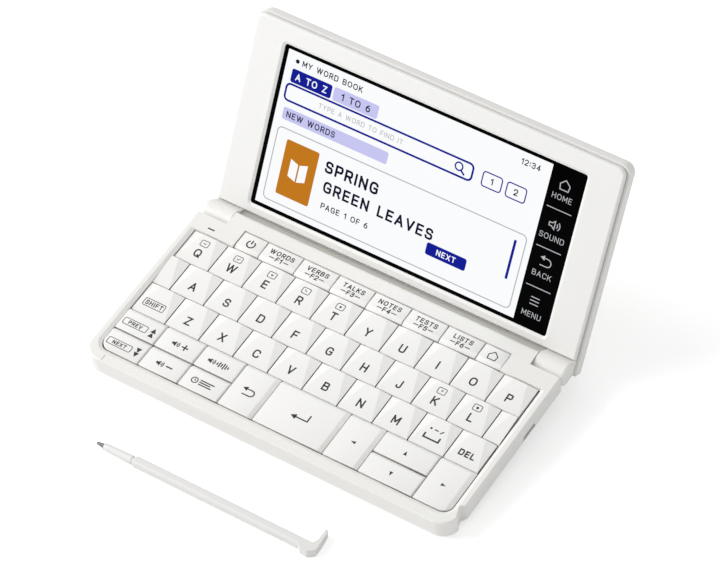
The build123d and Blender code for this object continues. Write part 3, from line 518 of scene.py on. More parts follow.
# The grey on the caps' upright sides is painted shade for the gaps between the keys; the function row takes
# a lighter one.
gap_shade_grey = (0.48, 0.47, 0.455)
key_white = key_plastic("key white", gap_shade_grey, ABOVE_ALL)
block_white = key_plastic("block key white", gap_shade_grey, -0.75)
function_white = key_plastic("function key white", (0.80, 0.79, 0.77), ABOVE_ALL)
letter_names = ["key_" + letter for letter in "QWERTYUIOPASDFGHJKLZXCVBNM"]
wedge_names = letter_names + ["key_shift", "key_space", "key_delete"]
block_words = "previous next volume_up volume_down sound history back enter left up down right"
block_names = ["key_" + word for word in block_words.split()]
full_height = ("key_back", "key_enter", "key_left", "key_right")
for name in wedge_names + block_names:
    wedge = name in wedge_names
    shapers = [spread_facets if wedge else trimmed_side]
    if name in full_height:
        shapers = []
    if name in ("key_P", "key_delete"):
        shapers.append(narrowed)
    cap = softened(name, name.replace("key_", "cap_"), 0.14, 3, shapers)
    set_material(cap, key_white if wedge else block_white)
cap = softened("function_keys", "cap_function_row", 0.12, 2)
set_material(cap, function_white)


# The second letter row is half a key short at both ends. The frame is shaped there like the
# part of a key that would stick out, so a blank half wedge fills each end.
def blank_wedge(name, side):
    """A half key at one end of the second row; side is 1 at the right and -1 at the left."""
    front, rear, low, foot, top = -26.455, -13.595, -1.15, -1.20, -0.05
    ridge_rear = rear - 0.48
    inner, ridge, outer = (63.56, 67.54, 69.9) if side > 0 else (63.56, 67.69, 70.45)
    plan = (
        (inner, front, low),
        (inner, rear, low),
        (ridge, ridge_rear, top),
        (outer, ridge_rear, top),
        (outer, front, low),
        (outer, rear, low),
        (inner, front, foot),
        (inner, rear, foot),
        (outer, rear, foot),
        (outer, front, foot),
    )
    sides = ((0, 1, 7, 6), (0, 6, 9, 4), (1, 5, 8, 7), (4, 9, 8, 5, 3), (6, 7, 8, 9))
    faces = ((0, 2, 1), (0, 4, 3, 2), (1, 2, 3, 5), *sides)
    mesh = bpy.data.meshes.new(name)
    mesh.from_pydata([deck_place @ (Vector((side * x, y, z)) * MM) for x, y, z in plan], [], faces)
    mesh.update()
    piece = bpy.data.objects.new(name, mesh)
    bpy.context.scene.collection.objects.link(piece)
    cleaned(piece)
    set_material(piece, key_white)
    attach(piece, "base")


blank_wedge("blank_cap_left", -1)
blank_wedge("blank_cap_right", 1)


# ================================================================ key legends
# The letters and signs are pad-printed in dark grey ink on the caps.
def printed_ink(name, colour, shade):
    """Thin matt ink that covers a little unevenly."""
    material, shader = moulded(name, colour, shade, 0.45, 0.6, 900.0, 6000.0, 0.000002)
    shader.inputs["Specular IOR Level"].default_value = 0.3
    return material


ink_grey = printed_ink("legend ink", (0.026, 0.025, 0.025), (0.040, 0.039, 0.039))
INK = 0.03  # thickness of printed ink
SHORTEST_MITRE = 0.35  # keeps the outer corner of a sharp turn from running far out
LETTER_GAP = 0.26  # between two letters, as a share of their height


def arc(x, y, radius, start, end, steps=16):
    """Points along an arc, from one angle to another in degrees."""
    turns = [radians(start + (end - start) * i / steps) for i in range(steps + 1)]
    return [(x + radius * cos(t), y + radius * sin(t)) for t in turns]


def band(points, width, closed=False):
    """The outline of a line of a given width drawn through points: one ring, or two if closed."""
    count = len(points)
    sides = ([], [])
    for i in range(count):
        here = Vector(points[i])
        before = Vector(points[i - 1]) if closed or i > 0 else None
        after = Vector(points[(i + 1) % count]) if closed or i < count - 1 else None
        into = (here - before).normalized() if before else (after - here).normalized()
        out = (after - here).normalized() if after else into
        left_in, left_out = Vector((-into.y, into.x)), Vector((-out.y, out.x))
        mitre = (left_in + left_out).normalized()
        reach = width / 2 / max(mitre.dot(left_in), SHORTEST_MITRE)
        sides[0].append(tuple(here + mitre * reach))
        sides[1].append(tuple(here - mitre * reach))
    if closed:
        return [sides[0], sides[1]]
    return [sides[0] + sides[1][::-1]]


def rounded(x, y, width, height, radius, steps=5):
    """A rounded rectangle about a centre."""
    corners = ((1, 1, 0), (-1, 1, 90), (-1, -1, 180), (1, -1, 270))
    ring = []
    for side, end, start in corners:
        cx = x + side * (width / 2 - radius)
        cy = y + end * (height / 2 - radius)
        ring += arc(cx, cy, radius, start, start + 90, steps)
    return ring


def disc(x, y, radius, steps=24):
    """A full circle."""
    return arc(x, y, radius, 0, 360 * (steps - 1) / steps, steps - 1)


def flat_shape(rings, thickness=INK):
    """A flat solid in the XY plane from closed rings; a ring inside another is a hole."""
    curve = bpy.data.curves.new("flat", "CURVE")
    curve.dimensions = "2D"
    curve.fill_mode = "BOTH"
    curve.extrude = thickness / 2
    for ring in rings:
        spline = curve.splines.new("POLY")
        spline.points.add(len(ring) - 1)
        for point, (x, y) in zip(spline.points, ring):
            point.co = (x, y, 0, 1)
        spline.use_cyclic_u = True
    shape = bpy.data.objects.new("flat", curve)
    bpy.context.scene.collection.objects.link(shape)
    return shape


def stroke(points, width, closed=False, thickness=INK):
    """A flat line of even width drawn through points."""
    return flat_shape(band(points, width, closed), thickness)


def soft(*corners, closed=False):
    """A smooth line guided by corners: each pass cuts every corner a quarter of the way."""
    line = [Vector(c) for c in corners]
    for _ in range(3):
        pairs = list(zip(line, line[1:] + line[:1])) if closed else list(zip(line, line[1:]))
        cut = [p for a, b in pairs for p in (a.lerp(b, 0.25), a.lerp(b, 0.75))]
        line = cut if closed else [line[0], *cut[1:-1], line[-1]]
    return [tuple(p) for p in line]


# Plain letters as strokes, for capitals 1 high: the width, then the middle line of each stroke.
ROUND = soft((0, 0), (0, 1), (0.78, 1), (0.78, 0), closed=True)
LETTERS = {
    " ": (0.30,),
    ":": (0.0, [(0, 0.2), (0, 0.3)], [(0, 0.7), (0, 0.8)]),
    "A": (0.74, [(0, 0), (0.37, 1)], [(0.37, 1), (0.74, 0)], [(0.12, 0.32), (0.62, 0.32)]),
    "B": (
        0.64,
        [(0, 0), (0, 1)],
        soft((0, 1), (0.3, 1), (0.6, 1), (0.6, 0.54), (0.3, 0.54), (0, 0.54)),
        soft((0, 0.54), (0.34, 0.54), (0.66, 0.54), (0.66, 0), (0.34, 0), (0, 0)),
    ),
    "C": (0.68, soft((0.70, 0.78), (0.62, 1), (0, 1), (0, 0), (0.62, 0), (0.70, 0.22))),
    "D": (0.68, [(0, 0), (0, 1)], soft((0, 1), (0.2, 1), (0.72, 1), (0.72, 0), (0.2, 0), (0, 0))),
    "E": (0.56, [(0.56, 1), (0, 1), (0, 0), (0.56, 0)], [(0, 0.52), (0.5, 0.52)]),
    "F": (0.54, [(0.56, 1), (0, 1), (0, 0)], [(0, 0.5), (0.5, 0.5)]),
    "G": (
        0.70,
        soft((0.68, 0.80), (0.60, 1), (0, 1), (0, 0), (0.70, 0), (0.70, 0.3), (0.70, 0.46)),
        [(0.42, 0.46), (0.70, 0.46)],
    ),
    "H": (0.66, [(0, 0), (0, 1)], [(0.66, 0), (0.66, 1)], [(0, 0.52), (0.66, 0.52)]),
    "I": (0.0, [(0, 0), (0, 1)]),
    "J": (0.50, soft((0.5, 1), (0.5, 0.5), (0.5, 0), (0.04, 0), (0, 0.24))),
    "K": (0.64, [(0, 0), (0, 1)], [(0, 0.36), (0.62, 1)], [(0.24, 0.58), (0.66, 0)]),
    "L": (0.52, [(0, 1), (0, 0), (0.54, 0)]),
    "M": (0.80, [(0, 0), (0, 1)], [(0, 1), (0.4, 0.26)], [(0.4, 0.26), (0.8, 1)], [(0.8, 0), (0.8, 1)]),
    "N": (0.68, [(0, 0), (0, 1)], [(0, 1), (0.68, 0)], [(0.68, 0), (0.68, 1)]),
    "O": (0.78, ROUND),
    "P": (0.60, [(0, 0), (0, 1)], soft((0, 1), (0.3, 1), (0.64, 1), (0.64, 0.44), (0.3, 0.44), (0, 0.44))),
    "Q": (0.78, ROUND, [(0.48, 0.24), (0.76, -0.04)]),
    "R": (
        0.62,
        [(0, 0), (0, 1)],
        soft((0, 1), (0.3, 1), (0.62, 1), (0.62, 0.46), (0.3, 0.46), (0, 0.46)),
        [(0.34, 0.46), (0.64, 0)],
    ),
    "S": (
        0.62,
        soft(
            (0.62, 0.80), (0.56, 1), (0.03, 1), (0.03, 0.56), (0.32, 0.51),
            (0.64, 0.46), (0.64, 0), (0.06, 0), (0, 0.20),
        ),
    ),
    "T": (0.66, [(0, 1), (0.66, 1)], [(0.33, 1), (0.33, 0)]),
    "U": (0.66, soft((0, 1), (0, 0.5), (0, 0), (0.66, 0), (0.66, 0.5), (0.66, 1))),
    "V": (0.72, [(0, 1), (0.36, 0)], [(0.36, 0), (0.72, 1)]),
    "W": (
        1.12,
        [(0, 1), (0.28, 0)],
        [(0.28, 0), (0.56, 1)],
        [(0.56, 1), (0.84, 0)],
        [(0.84, 0), (1.12, 1)],
    ),
    "X": (0.68, [(0, 0), (0.68, 1)], [(0, 1), (0.68, 0)]),
    "Y": (0.68, [(0, 1), (0.34, 0.46)], [(0.68, 1), (0.34, 0.46)], [(0.34, 0.46), (0.34, 0)]),
    "Z": (0.62, [(0, 1), (0.62, 1), (0, 0), (0.64, 0)]),
    "1": (0.30, [(0, 0.78), (0.30, 1), (0.30, 0)]),
    "2": (0.60, soft((0, 0.76), (0.02, 1), (0.6, 1), (0.6, 0.56), (0.28, 0.3), (0, 0)), [(0, 0), (0.6, 0)]),
    "3": (
        0.60,
        soft((0, 0.82), (0.06, 1), (0.56, 1), (0.56, 0.54), (0.22, 0.54)),
        soft((0.22, 0.54), (0.60, 0.54), (0.60, 0), (0.04, 0), (0, 0.2)),
    ),
    "4": (0.62, [(0.44, 0), (0.44, 1)], [(0.44, 1), (0, 0.28)], [(0, 0.28), (0.62, 0.28)]),
    "5": (
        0.58,
        [(0.54, 1), (0.08, 1), (0.05, 0.56)],
        soft((0.05, 0.56), (0.2, 0.64), (0.60, 0.64), (0.60, 0), (0.04, 0), (0, 0.18)),
    ),
    "6": (
        0.60,
        soft((0.46, 1), (0.2, 0.86), (0, 0.6), (0, 0.34)),
        soft((0, 0), (0, 0.62), (0.60, 0.62), (0.60, 0), closed=True),
    ),
}


def lettering(text, x, y, height, line, thickness=INK):
    """Letters of even strokes with square ends, centred on a point; height is over the ink."""
    tall = height - line
    gap = LETTER_GAP * tall + line
    total = sum(LETTERS[c][0] * tall for c in text) + gap * (len(text) - 1)
    pen = x - total / 2
    shapes = []
    for c in text:
        width, *paths = LETTERS[c]
        for path in paths:
            points = [Vector((pen + tall * px, y - tall / 2 + tall * py)) for px, py in path]
            ring = path is ROUND or (c == "6" and path is paths[1])
            if not ring:
                points[0] += (points[0] - points[1]).normalized() * line / 2
                points[-1] += (points[-1] - points[-2]).normalized() * line / 2
            shapes.append(stroke(points, line, ring, thickness))
        pen += width * tall + gap
    return shapes


def printed(piece_name, shapes, place, body, material):
    """Join flat shapes into one mesh, lay it on a surface and let it ride on a body."""
    bpy.ops.object.select_all(action="DESELECT")
    for shape in shapes:
        shape.select_set(True)
    bpy.context.view_layer.objects.active = shapes[0]
    bpy.ops.object.convert(target="MESH")
    bpy.ops.object.transform_apply(location=True, rotation=True, scale=True)
    if len(shapes) > 1:
        bpy.ops.object.join()
    piece = bpy.context.view_layer.objects.active
    piece.name = piece_name
    piece.data.name = piece_name
    cleaned(piece, merge=0.0005)
    piece.data.transform(place @ Matrix.Scale(MM, 4))
    set_material(piece, material)
    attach(piece, body)


def legend(name, shapes, place, body=None):
    """Signs drawn in millimetres about the middle of a cap, on the key's body or a given one."""
    printed("legend_" + name, shapes, place, body or "key_" + name, ink_grey)


KEY_PITCH, ROW_DEPTH = 14.07, 13.35
HALF_WELL = 5 * KEY_PITCH  # ten letter keys fill the well
BLOCK_DEPTH = 9.7  # depth of a half-height key
WEDGE_FRONT, WEDGE_RISE, WEDGE_DEPTH = -1.15, 1.1, 12.4  # front edge and slope of a letter key
BLOCK_TOP, FUNCTION_TOP = -0.15, -0.25  # deck levels of the flat tops
INK_RISE = 0.008  # middle of the ink above the surface it is printed on


def on_deck(x, y, level, slope=0.0):
    """A place on the deck, tipped about X by a slope."""
    return deck_place @ Matrix.Translation(Vector((x, y, level)) * MM) @ Matrix.Rotation(slope, 4, "X")


def on_wedge(left, rear):
    """The middle of a letter key's top, which rises towards the rear."""
    rise = WEDGE_RISE / WEDGE_DEPTH
    middle = WEDGE_FRONT + rise * (ROW_DEPTH / 2 - 0.225)
    place = on_deck(left - HALF_WELL + KEY_PITCH / 2, rear - ROW_DEPTH / 2, middle, rise)
    return place @ Matrix.Translation((0, 0, INK_RISE * MM))


def on_block(left, rear, width, depth):
    """The middle of a flat-topped key."""
    return on_deck(left - HALF_WELL + width / 2, rear - depth / 2, BLOCK_TOP + INK_RISE)


LETTER_Y = -1.65
BOX_X, BOX_Y = -0.15, 2.75


def boxed_sign(inner):
    """A small framed sign above a letter."""
    frame_shape = stroke(rounded(BOX_X, BOX_Y, 3.1, 2.45, 0.5), 0.26, closed=True)
    moved = [[(BOX_X + x, BOX_Y + y) for x, y in ring] for ring in inner]
    return [frame_shape] + [flat_shape([ring]) for ring in moved]


# Signs in the frames: bar, tick, down, up, dot, query and dot, as on a handwriting panel.
framed_signs = {
    "Q": band([(-0.6, 0), (0.6, 0)], 0.3),
    "W": band([(-0.6, 0.1), (-0.2, -0.3), (0.6, 0.4)], 0.26),
    "E": [[(-0.6, 0.3), (0, -0.5), (0.6, 0.3)]],
    "R": band([(-0.6, 0.4), (0.3, -0.3)], 0.28),
    "T": [disc(0, 0, 0.42)],
    "K": band([(-0.3, 0.3), (0.1, 0.5), (0.3, 0.2), (0, -0.1), (0, -0.4)], 0.24),
    "L": [disc(0, 0, 0.5)],
}
letter_rows = (("QWERTYUIOP", 0), ("ASDFGHJKL", 0.5), ("ZXCVBNM", 1))
for row, (letters, first) in enumerate(letter_rows):
    for column, letter in enumerate(letters):
        place = on_wedge((first + column) * KEY_PITCH, -row * ROW_DEPTH)
        shapes = lettering(letter, -0.3, LETTER_Y, 3.4, 0.57)
        if letter in framed_signs:
            shapes += boxed_sign(framed_signs[letter])
        legend(letter, shapes, place)

shapes = [
    *lettering("SHIFT", -0.45, LETTER_Y, 1.85, 0.34),
    stroke(rounded(-0.45, LETTER_Y, 8.4, 3.0, 0.6), 0.26, closed=True),
]
legend("shift", shapes, on_wedge(0.0, -2 * ROW_DEPTH))

shapes = [
    stroke([(-3.1, -0.9), (-3.1, -2.7), (2.7, -2.7), (2.7, -0.9)], 0.6),
    flat_shape([disc(-2.2, 1.3, 0.42)]),
    stroke([(-0.9, 1.3), (0.6, 1.3)], 0.42),
    stroke([(1.5, 0.7), (2.5, 1.9)], 0.42),
]
legend("space", shapes, on_wedge(8 * KEY_PITCH, -2 * ROW_DEPTH))

shapes = lettering("DEL", -0.4, -1.9, 2.5, 0.52)
legend("delete", shapes, on_wedge(9 * KEY_PITCH, -2 * ROW_DEPTH))


def arrowhead(x, y, length, base, turn):
    """The outline of an arrowhead about a point, that points along a direction in degrees."""
    ahead = Vector((cos(radians(turn)), sin(radians(turn))))
    across = Vector((-ahead.y, ahead.x))
    middle = Vector((x, y))
    tail = middle - ahead * length / 2
    corners = (middle + ahead * length / 2, tail + across * base / 2, tail - across * base / 2)
    return [tuple(corner) for corner in corners]


def loudspeaker_sign(x, y, size):
    """A loudspeaker with two sound waves."""
    horn = [(-1.25, -0.42), (-0.62, -0.42), (0.1, -1.0), (0.1, 1.0), (-0.62, 0.42), (-1.25, 0.42)]
    horn = [(x + size * px, y + size * py) for px, py in horn]
    shapes = [flat_shape([horn])]
    for reach in (0.62, 1.18):
        wave = arc(x + size * 0.05, y, size * reach, -48, 48, 10)
        shapes.append(stroke(wave, 0.32 * size))
    return shapes


BLOCK_REAR = -3 * ROW_DEPTH
SMALL = 16.3  # width of a half-height key
SIGN_Y = -0.7  # middle of the signs of sound and volume
for name, rear, turn in (("previous", 0.0, 90), ("next", BLOCK_DEPTH, -90)):
    place = on_block(0.0, BLOCK_REAR - rear, SMALL, BLOCK_DEPTH)
    lift = 0.992 if turn > 0 else -0.992
    shapes = [
        stroke(rounded(-2.0, -0.9, 9.6, 2.7, 0.55), 0.26, closed=True),
        flat_shape([arrowhead(5.2, -0.9 + lift, 2.0, 2.1, turn)]),
        flat_shape([arrowhead(5.2, -0.9 - lift, 2.0, 2.1, turn)]),
    ]
    shapes += lettering("PREV" if turn > 0 else "NEXT", -2.0, -0.9, 1.6, 0.32)
    legend(name, shapes, place)

for name, rear in (("volume_up", 0.0), ("volume_down", BLOCK_DEPTH)):
    place = on_block(SMALL, BLOCK_REAR - rear, SMALL, BLOCK_DEPTH)
    shapes = loudspeaker_sign(-1.6, SIGN_Y, 1.15)
    shapes.append(stroke([(0.9, SIGN_Y), (3.5, SIGN_Y)], 0.52))
    if name == "volume_up":
        shapes.append(stroke([(2.2, SIGN_Y + 1.3), (2.2, SIGN_Y + 0.26)], 0.52))
        shapes.append(stroke([(2.2, SIGN_Y - 0.26), (2.2, SIGN_Y - 1.3)], 0.52))
    legend(name, shapes, place)

# Pronounce: a loudspeaker and a voice trace. History: a clock face and three lines.
place = on_block(2 * SMALL, BLOCK_REAR, SMALL, BLOCK_DEPTH)
shapes = loudspeaker_sign(-3.1, SIGN_Y, 1.15)
for step, height in enumerate((1.2, 2.3, 1.6, 2.6, 1.9, 1.1)):
    x = -0.7 + step * 0.85
    shapes.append(stroke([(x, SIGN_Y - height / 2), (x, SIGN_Y + height / 2)], 0.46))
legend("sound", shapes, place)
place = on_block(2 * SMALL, BLOCK_REAR - BLOCK_DEPTH, SMALL, BLOCK_DEPTH)
shapes = [
    stroke(disc(-3.6, -0.6, 1.15), 0.38, closed=True),
    stroke([(-3.6, 0.1), (-3.6, -0.6), (-3.05, -0.9)], 0.3),
]
for step, reach in enumerate((5.6, 4.4, 5.1)):
    y = 0.3 - step * 0.9
    shapes.append(stroke([(-1.7, y), (-1.7 + reach, y)], 0.46))
legend("history", shapes, place)

# Back: an arrow that turns round. Enter: a line that comes down and back to an arrowhead.
FULL = 2 * BLOCK_DEPTH  # depth of a full-height key
place = on_block(3 * SMALL, BLOCK_REAR, KEY_PITCH, FULL)
turnback = [(-1.4, 0.35), (1.0, 0.35)] + arc(1.0, -0.9, 1.25, 80, -90, 10) + [(-1.9, -2.15)]
shapes = [
    stroke(turnback, 0.46),
    flat_shape([arrowhead(-1.9, 0.35, 1.8, 1.9, 180)]),
]
legend("back", shapes, place)
place = on_block(3 * SMALL + KEY_PITCH, BLOCK_REAR, 2 * KEY_PITCH, FULL)
shapes = [
    stroke([(2.9, 1.5), (2.9, -1.3), (-1.9, -1.3)], 0.5),
    flat_shape([arrowhead(-2.6, -1.3, 2.1, 2.3, 180)]),
]
legend("enter", shapes, place)

# Cursor keys carry one small arrowhead each.
UPDOWN_WIDTH = 5 * KEY_PITCH - 3 * SMALL
left_key = 3 * SMALL + 3 * KEY_PITCH
cursor_keys = (
    ("left", left_key, 0.0, KEY_PITCH, FULL, 180),
    ("up", left_key + KEY_PITCH, 0.0, UPDOWN_WIDTH, BLOCK_DEPTH, 90),
    ("down", left_key + KEY_PITCH, BLOCK_DEPTH, UPDOWN_WIDTH, BLOCK_DEPTH, -90),
    ("right", left_key + KEY_PITCH + UPDOWN_WIDTH, 0.0, KEY_PITCH, FULL, 0),
)
for name, left, rear, width, depth, turn in cursor_keys:
    place = on_block(left, BLOCK_REAR - rear, width, depth)
    shapes = [flat_shape([arrowhead(-0.3, -0.5, 1.8, 1.25, turn)])]
    legend(name, shapes, place)

# Function row: power and home signs at the ends; between them a subject over the key number.
FUNCTION_LEFT, FUNCTION_REAR = 16.09, 7.8  # left end and rear edge of the row
FUNCTION_END, FUNCTION_WIDTH = 9.95, 14.77  # widths of an end key and of a key between


def on_function_key(left, width):
    """The middle of a function key's top."""
    x = left - HALF_WELL + width / 2
    return on_deck(x, FUNCTION_REAR / 2, FUNCTION_TOP + INK_RISE)


def house_sign(x, y, size, line):
    """A plain house: five sides, one line."""
    walls = ((0, 1.2), (1.15, 0.15), (0.95, -1.05), (-0.95, -1.05), (-1.15, 0.15))
    return stroke([(x + size * px, y + size * py) for px, py in walls], line, closed=True)


shapes = [
    stroke(arc(0, -0.1, 1.5, 125, 415, 26), 0.5),
    stroke([(0, 0.0), (0, 1.8)], 0.5),
]
legend("power", shapes, on_function_key(FUNCTION_LEFT, FUNCTION_END), "function_keys")
home_left = FUNCTION_LEFT + FUNCTION_END + 6 * FUNCTION_WIDTH
shapes = [house_sign(0, 0.1, 1.5, 0.36)]
legend("home", shapes, on_function_key(home_left, FUNCTION_END), "function_keys")
NUMBER_Y = -1.3
subjects = ("WORDS", "VERBS", "TALKS", "NOTES", "TESTS", "LISTS")
for index, subject in enumerate(subjects):
    place = on_function_key(FUNCTION_LEFT + FUNCTION_END + index * FUNCTION_WIDTH, FUNCTION_WIDTH)
    number = "F" + str(index + 1)
    shapes = lettering(subject, 0, 1.2, 2.0, 0.36) + lettering(number, 0, NUMBER_Y, 2.0, 0.36)
    for side in (-1, 1):
        shapes.append(stroke([(side * 1.9, NUMBER_Y), (side * 3.9, NUMBER_Y)], 0.34))
    legend(number, shapes, place, "function_keys")

# ================================================================ small openings
# A dark felt pad at the bottom of the microphone slot behind the Q key is partly real felt and partly
# painted shade for the deep slot. The blank cap at the right stops short of the well, and a thin near-black
# strip on it is painted shade for the gap beside it.
# felt for the microphone pad, and near-black painted shade for the gap strip
felt_and_shade = printed_ink("felt_and_shade", (0.020, 0.019, 0.018), (0.035, 0.033, 0.032))
slot_pad = [flat_shape([rounded(0, 0, 2.74, 0.56, 0.1)], 0.1)]
printed("microphone_pad_and_shade", slot_pad, on_deck(-65.05, 2.4, -0.10), "base", felt_and_shade)
# painted shade: a thin near-black strip stands for the shaded gap beside the blank cap
gap_front, gap_rear, gap_left, gap_right = -26.4, -13.65, 70.0, 70.5
gap_shade_strip = [(gap_left, gap_front), (gap_right, gap_front), (gap_right, gap_rear), (gap_left, gap_rear)]
printed("blank_cap_gap_shade", [flat_shape([gap_shade_strip])], on_deck(0, 0, -1.13), "base", felt_and_shade)

# ================================================================ lid frame
# The front of the lid is one white moulding, a little smoother than the case. The groove at
# its rear edge, where it meets the back cover, is darkened with painted shade.
lid_white, shader = moulded("lid white", (0.872, 0.866, 0.850), (0.850, 0.844, 0.826), 0.28, 0.38)
tree = lid_white.node_tree
# painted shade: a dark band along the groove between the lid frame and the back cover
seam_shade = within(tree, along(tree, lid_place, 2), -2.5, -1.85, 0.12)
toned(shader, tree, seam_shade, (0.20, 0.19, 0.175))
set_material(nodes["lid_frame"], lid_white)


# ================================================================ touch glass
# Toughened glass with a black border printed behind it; fingers leave it a little uneven.
def black_glass():
    """Polished glass over black print, with faint smears."""
    material, tree, shader = new_material("touch glass")
    place = object_place(tree)
    smear = add_node(tree, "Mapping", {"Vector": place, "Scale": (1.0, 0.5, 2.2)})
    film = add_node(tree, "TexNoise", {"Vector": smear.outputs["Vector"], "Scale": 45.0, "Detail": 5.0})
    film = film.outputs["Fac"]
    polish = {"From Min": 0.35, "From Max": 0.7, "To Min": 0.03, "To Max": 0.10}
    rough = add_node(tree, "MapRange", {"Value": film, **polish}).outputs["Result"]
    black = mixed(tree, film, (0.0004, 0.0004, 0.0005, 1), (0.0010, 0.0010, 0.0012, 1))
    feed(tree, shader, {"Base Color": black, "Roughness": rough, "IOR": 1.08})
    return material


set_material(nodes["touch_panel"], black_glass())
module, shader = moulded("display module", (0.05, 0.05, 0.055), (0.08, 0.08, 0.085), 0.3, 0.5)
set_material(nodes["lcd_module"], module)

# ================================================================ picture on the display
# A colour display under the glass, lit from behind, shows a search page in navy, lavender
# and amber. Its picture is laid on the glass in thin sheets, one for each colour.
SHEET = 0.02  # thickness of one sheet
GLASS_LEVEL = -0.65  # front of the glass in the frame of the lid
PICTURE_LEFT, PICTURE_RIGHT, PICTURE_TOP, PICTURE_BOTTOM = -58.65, 47.2, 67.65, 8.65


def lit(name, colour):
    """Light from a display: fine columns of colour dots that fade a little across the panel."""
    material, tree, shader = new_material(name)
    place = object_place(tree)
    inputs = {"Vector": place, "Scale": 1200.0}
    dots = add_node(tree, "TexWave", inputs, wave_type="BANDS", bands_direction="X")
    haze = add_node(tree, "TexNoise", {"Vector": place, "Scale": 25.0}).outputs["Fac"]
    dimmer = tuple(0.96 * c for c in colour)
    tone = mixed(tree, dots.outputs["Fac"], (*dimmer, 1), (*colour, 1))
    fading = add_node(tree, "MapRange", {"Value": haze, "To Max": 0.4})
    tone = mixed(tree, fading.outputs["Result"], tone, (*dimmer, 1))
    feed(tree, shader, {"Emission Color": tone, "Emission Strength": 1.0})
    feed(tree, shader, {"Base Color": (0.0, 0.0, 0.0, 1), "Roughness": 0.15, "IOR": 1.08})
    return material


def sheet_place(layer):
    """The place of one thin sheet of the picture, counted up from the glass."""
    return lid_place @ Matrix.Translation((0, 0, (GLASS_LEVEL + (layer + 0.5) * SHEET) * MM))


def picture(name, rings_list, layer, material, lines=()):
    """A sheet of one colour: shapes as lists of rings, and lines of lettering, from the top left."""
    shapes = []
    for rings in rings_list:
        moved = [[(PICTURE_LEFT + x, PICTURE_TOP - y) for x, y in ring] for ring in rings]
        shapes.append(flat_shape(moved, SHEET))
    for text, x, y, height, line in lines:
        shapes += lettering(text, PICTURE_LEFT + x, PICTURE_TOP - y, height, line, SHEET)
    printed(name, shapes, sheet_place(layer), "lid", material)


def bar(x0, y0, x1, y1, radius=0.0):
    """A filled bar between two corners."""
    if radius == 0.0:
        return [[(x0, y0), (x1, y0), (x1, y1), (x0, y1)]]
    return [rounded((x0 + x1) / 2, (y0 + y1) / 2, x1 - x0, y1 - y0, radius)]


def frame_line(x0, y0, x1, y1, radius, line):
    """A rounded frame between two corners."""
    return band(bar(x0, y0, x1, y1, radius)[0], line, closed=True)


WIDE, TALL = PICTURE_RIGHT - PICTURE_LEFT, PICTURE_TOP - PICTURE_BOTTOM
white_light = lit("white light", (0.98, 0.99, 1.0))
navy_light = lit("navy light", (0.006, 0.012, 0.30))
lavender_light = lit("lavender light", (0.58, 0.58, 0.90))
dark_light = lit("dark light", (0.006, 0.006, 0.03))
amber_light = lit("amber light", (0.55, 0.19, 0.012))
grey_light = lit("grey light", (0.48, 0.49, 0.52))
picture("display_ground", [bar(0, 0, WIDE, TALL)], 0, white_light)

navy_shapes = [
    bar(3.0, 6.3, 19.5, 11.4, 0.8),
    frame_line(2.2, 12.2, 78.0, 18.4, 1.6, 0.75),
    band(disc(72.6, 14.9, 1.45), 0.55, closed=True),
    band([(73.6, 16.0), (75.2, 17.3)], 0.7),
    frame_line(82.0, 12.6, 89.5, 18.0, 1.0, 0.45),
    frame_line(91.5, 12.6, 99.0, 18.0, 1.0, 0.45),
    bar(68.0, 46.0, 84.0, 50.6, 0.8),
    bar(99.0, 31.6, 100.0, 46.5),
]
picture("display_navy", navy_shapes, 1, navy_light)
lavender_shapes = [bar(20.3, 6.3, 38.5, 11.4, 0.8), bar(3.0, 21.0, 46.0, 25.6, 0.8)]
picture("display_lavender", lavender_shapes, 1, lavender_light)
grey_shapes = [frame_line(2.6, 28.6, 103.4, 56.6, 1.8, 0.42)]
grey_words = (("TYPE A WORD TO FIND IT", 33.0, 15.3, 1.9, 0.26),)
picture("display_grey", grey_shapes, 1, grey_light, grey_words)
dark_shapes = [[disc(4.3, 3.3, 0.75)]]
dark_words = (
    ("MY WORD BOOK", 18.6, 3.3, 2.2, 0.36),
    ("SPRING", 34.5, 35.6, 4.5, 0.85),
    ("GREEN LEAVES", 47.0, 43.0, 4.3, 0.8),
    ("PAGE 1 OF 6", 35.0, 50.2, 2.2, 0.36),
    ("12:34", 98.0, 3.5, 2.2, 0.34),
    ("1", 85.7, 15.3, 2.4, 0.4),
    ("2", 95.2, 15.3, 2.4, 0.4),
    ("1 TO 6", 29.4, 8.9, 2.6, 0.42),
    ("NEW WORDS", 14.5, 23.3, 2.3, 0.38),
)
picture("display_dark", dark_shapes, 2, dark_light, dark_words)
picture("display_amber", [bar(7.0, 32.0, 20.5, 53.0, 0.7)], 1, amber_light)
pale_shapes = [
    [[(10.2, 38.5), (13.4, 39.6), (13.4, 46.2), (10.2, 45.1)]],
    [[(14.0, 39.6), (17.2, 38.5), (17.2, 45.1), (14.0, 46.2)]],
]
pale_words = (("A TO Z", 11.2, 8.9, 2.6, 0.42), ("NEXT", 76.0, 48.3, 2.2, 0.38))
picture("display_pale", pale_shapes, 2, white_light, pale_words)

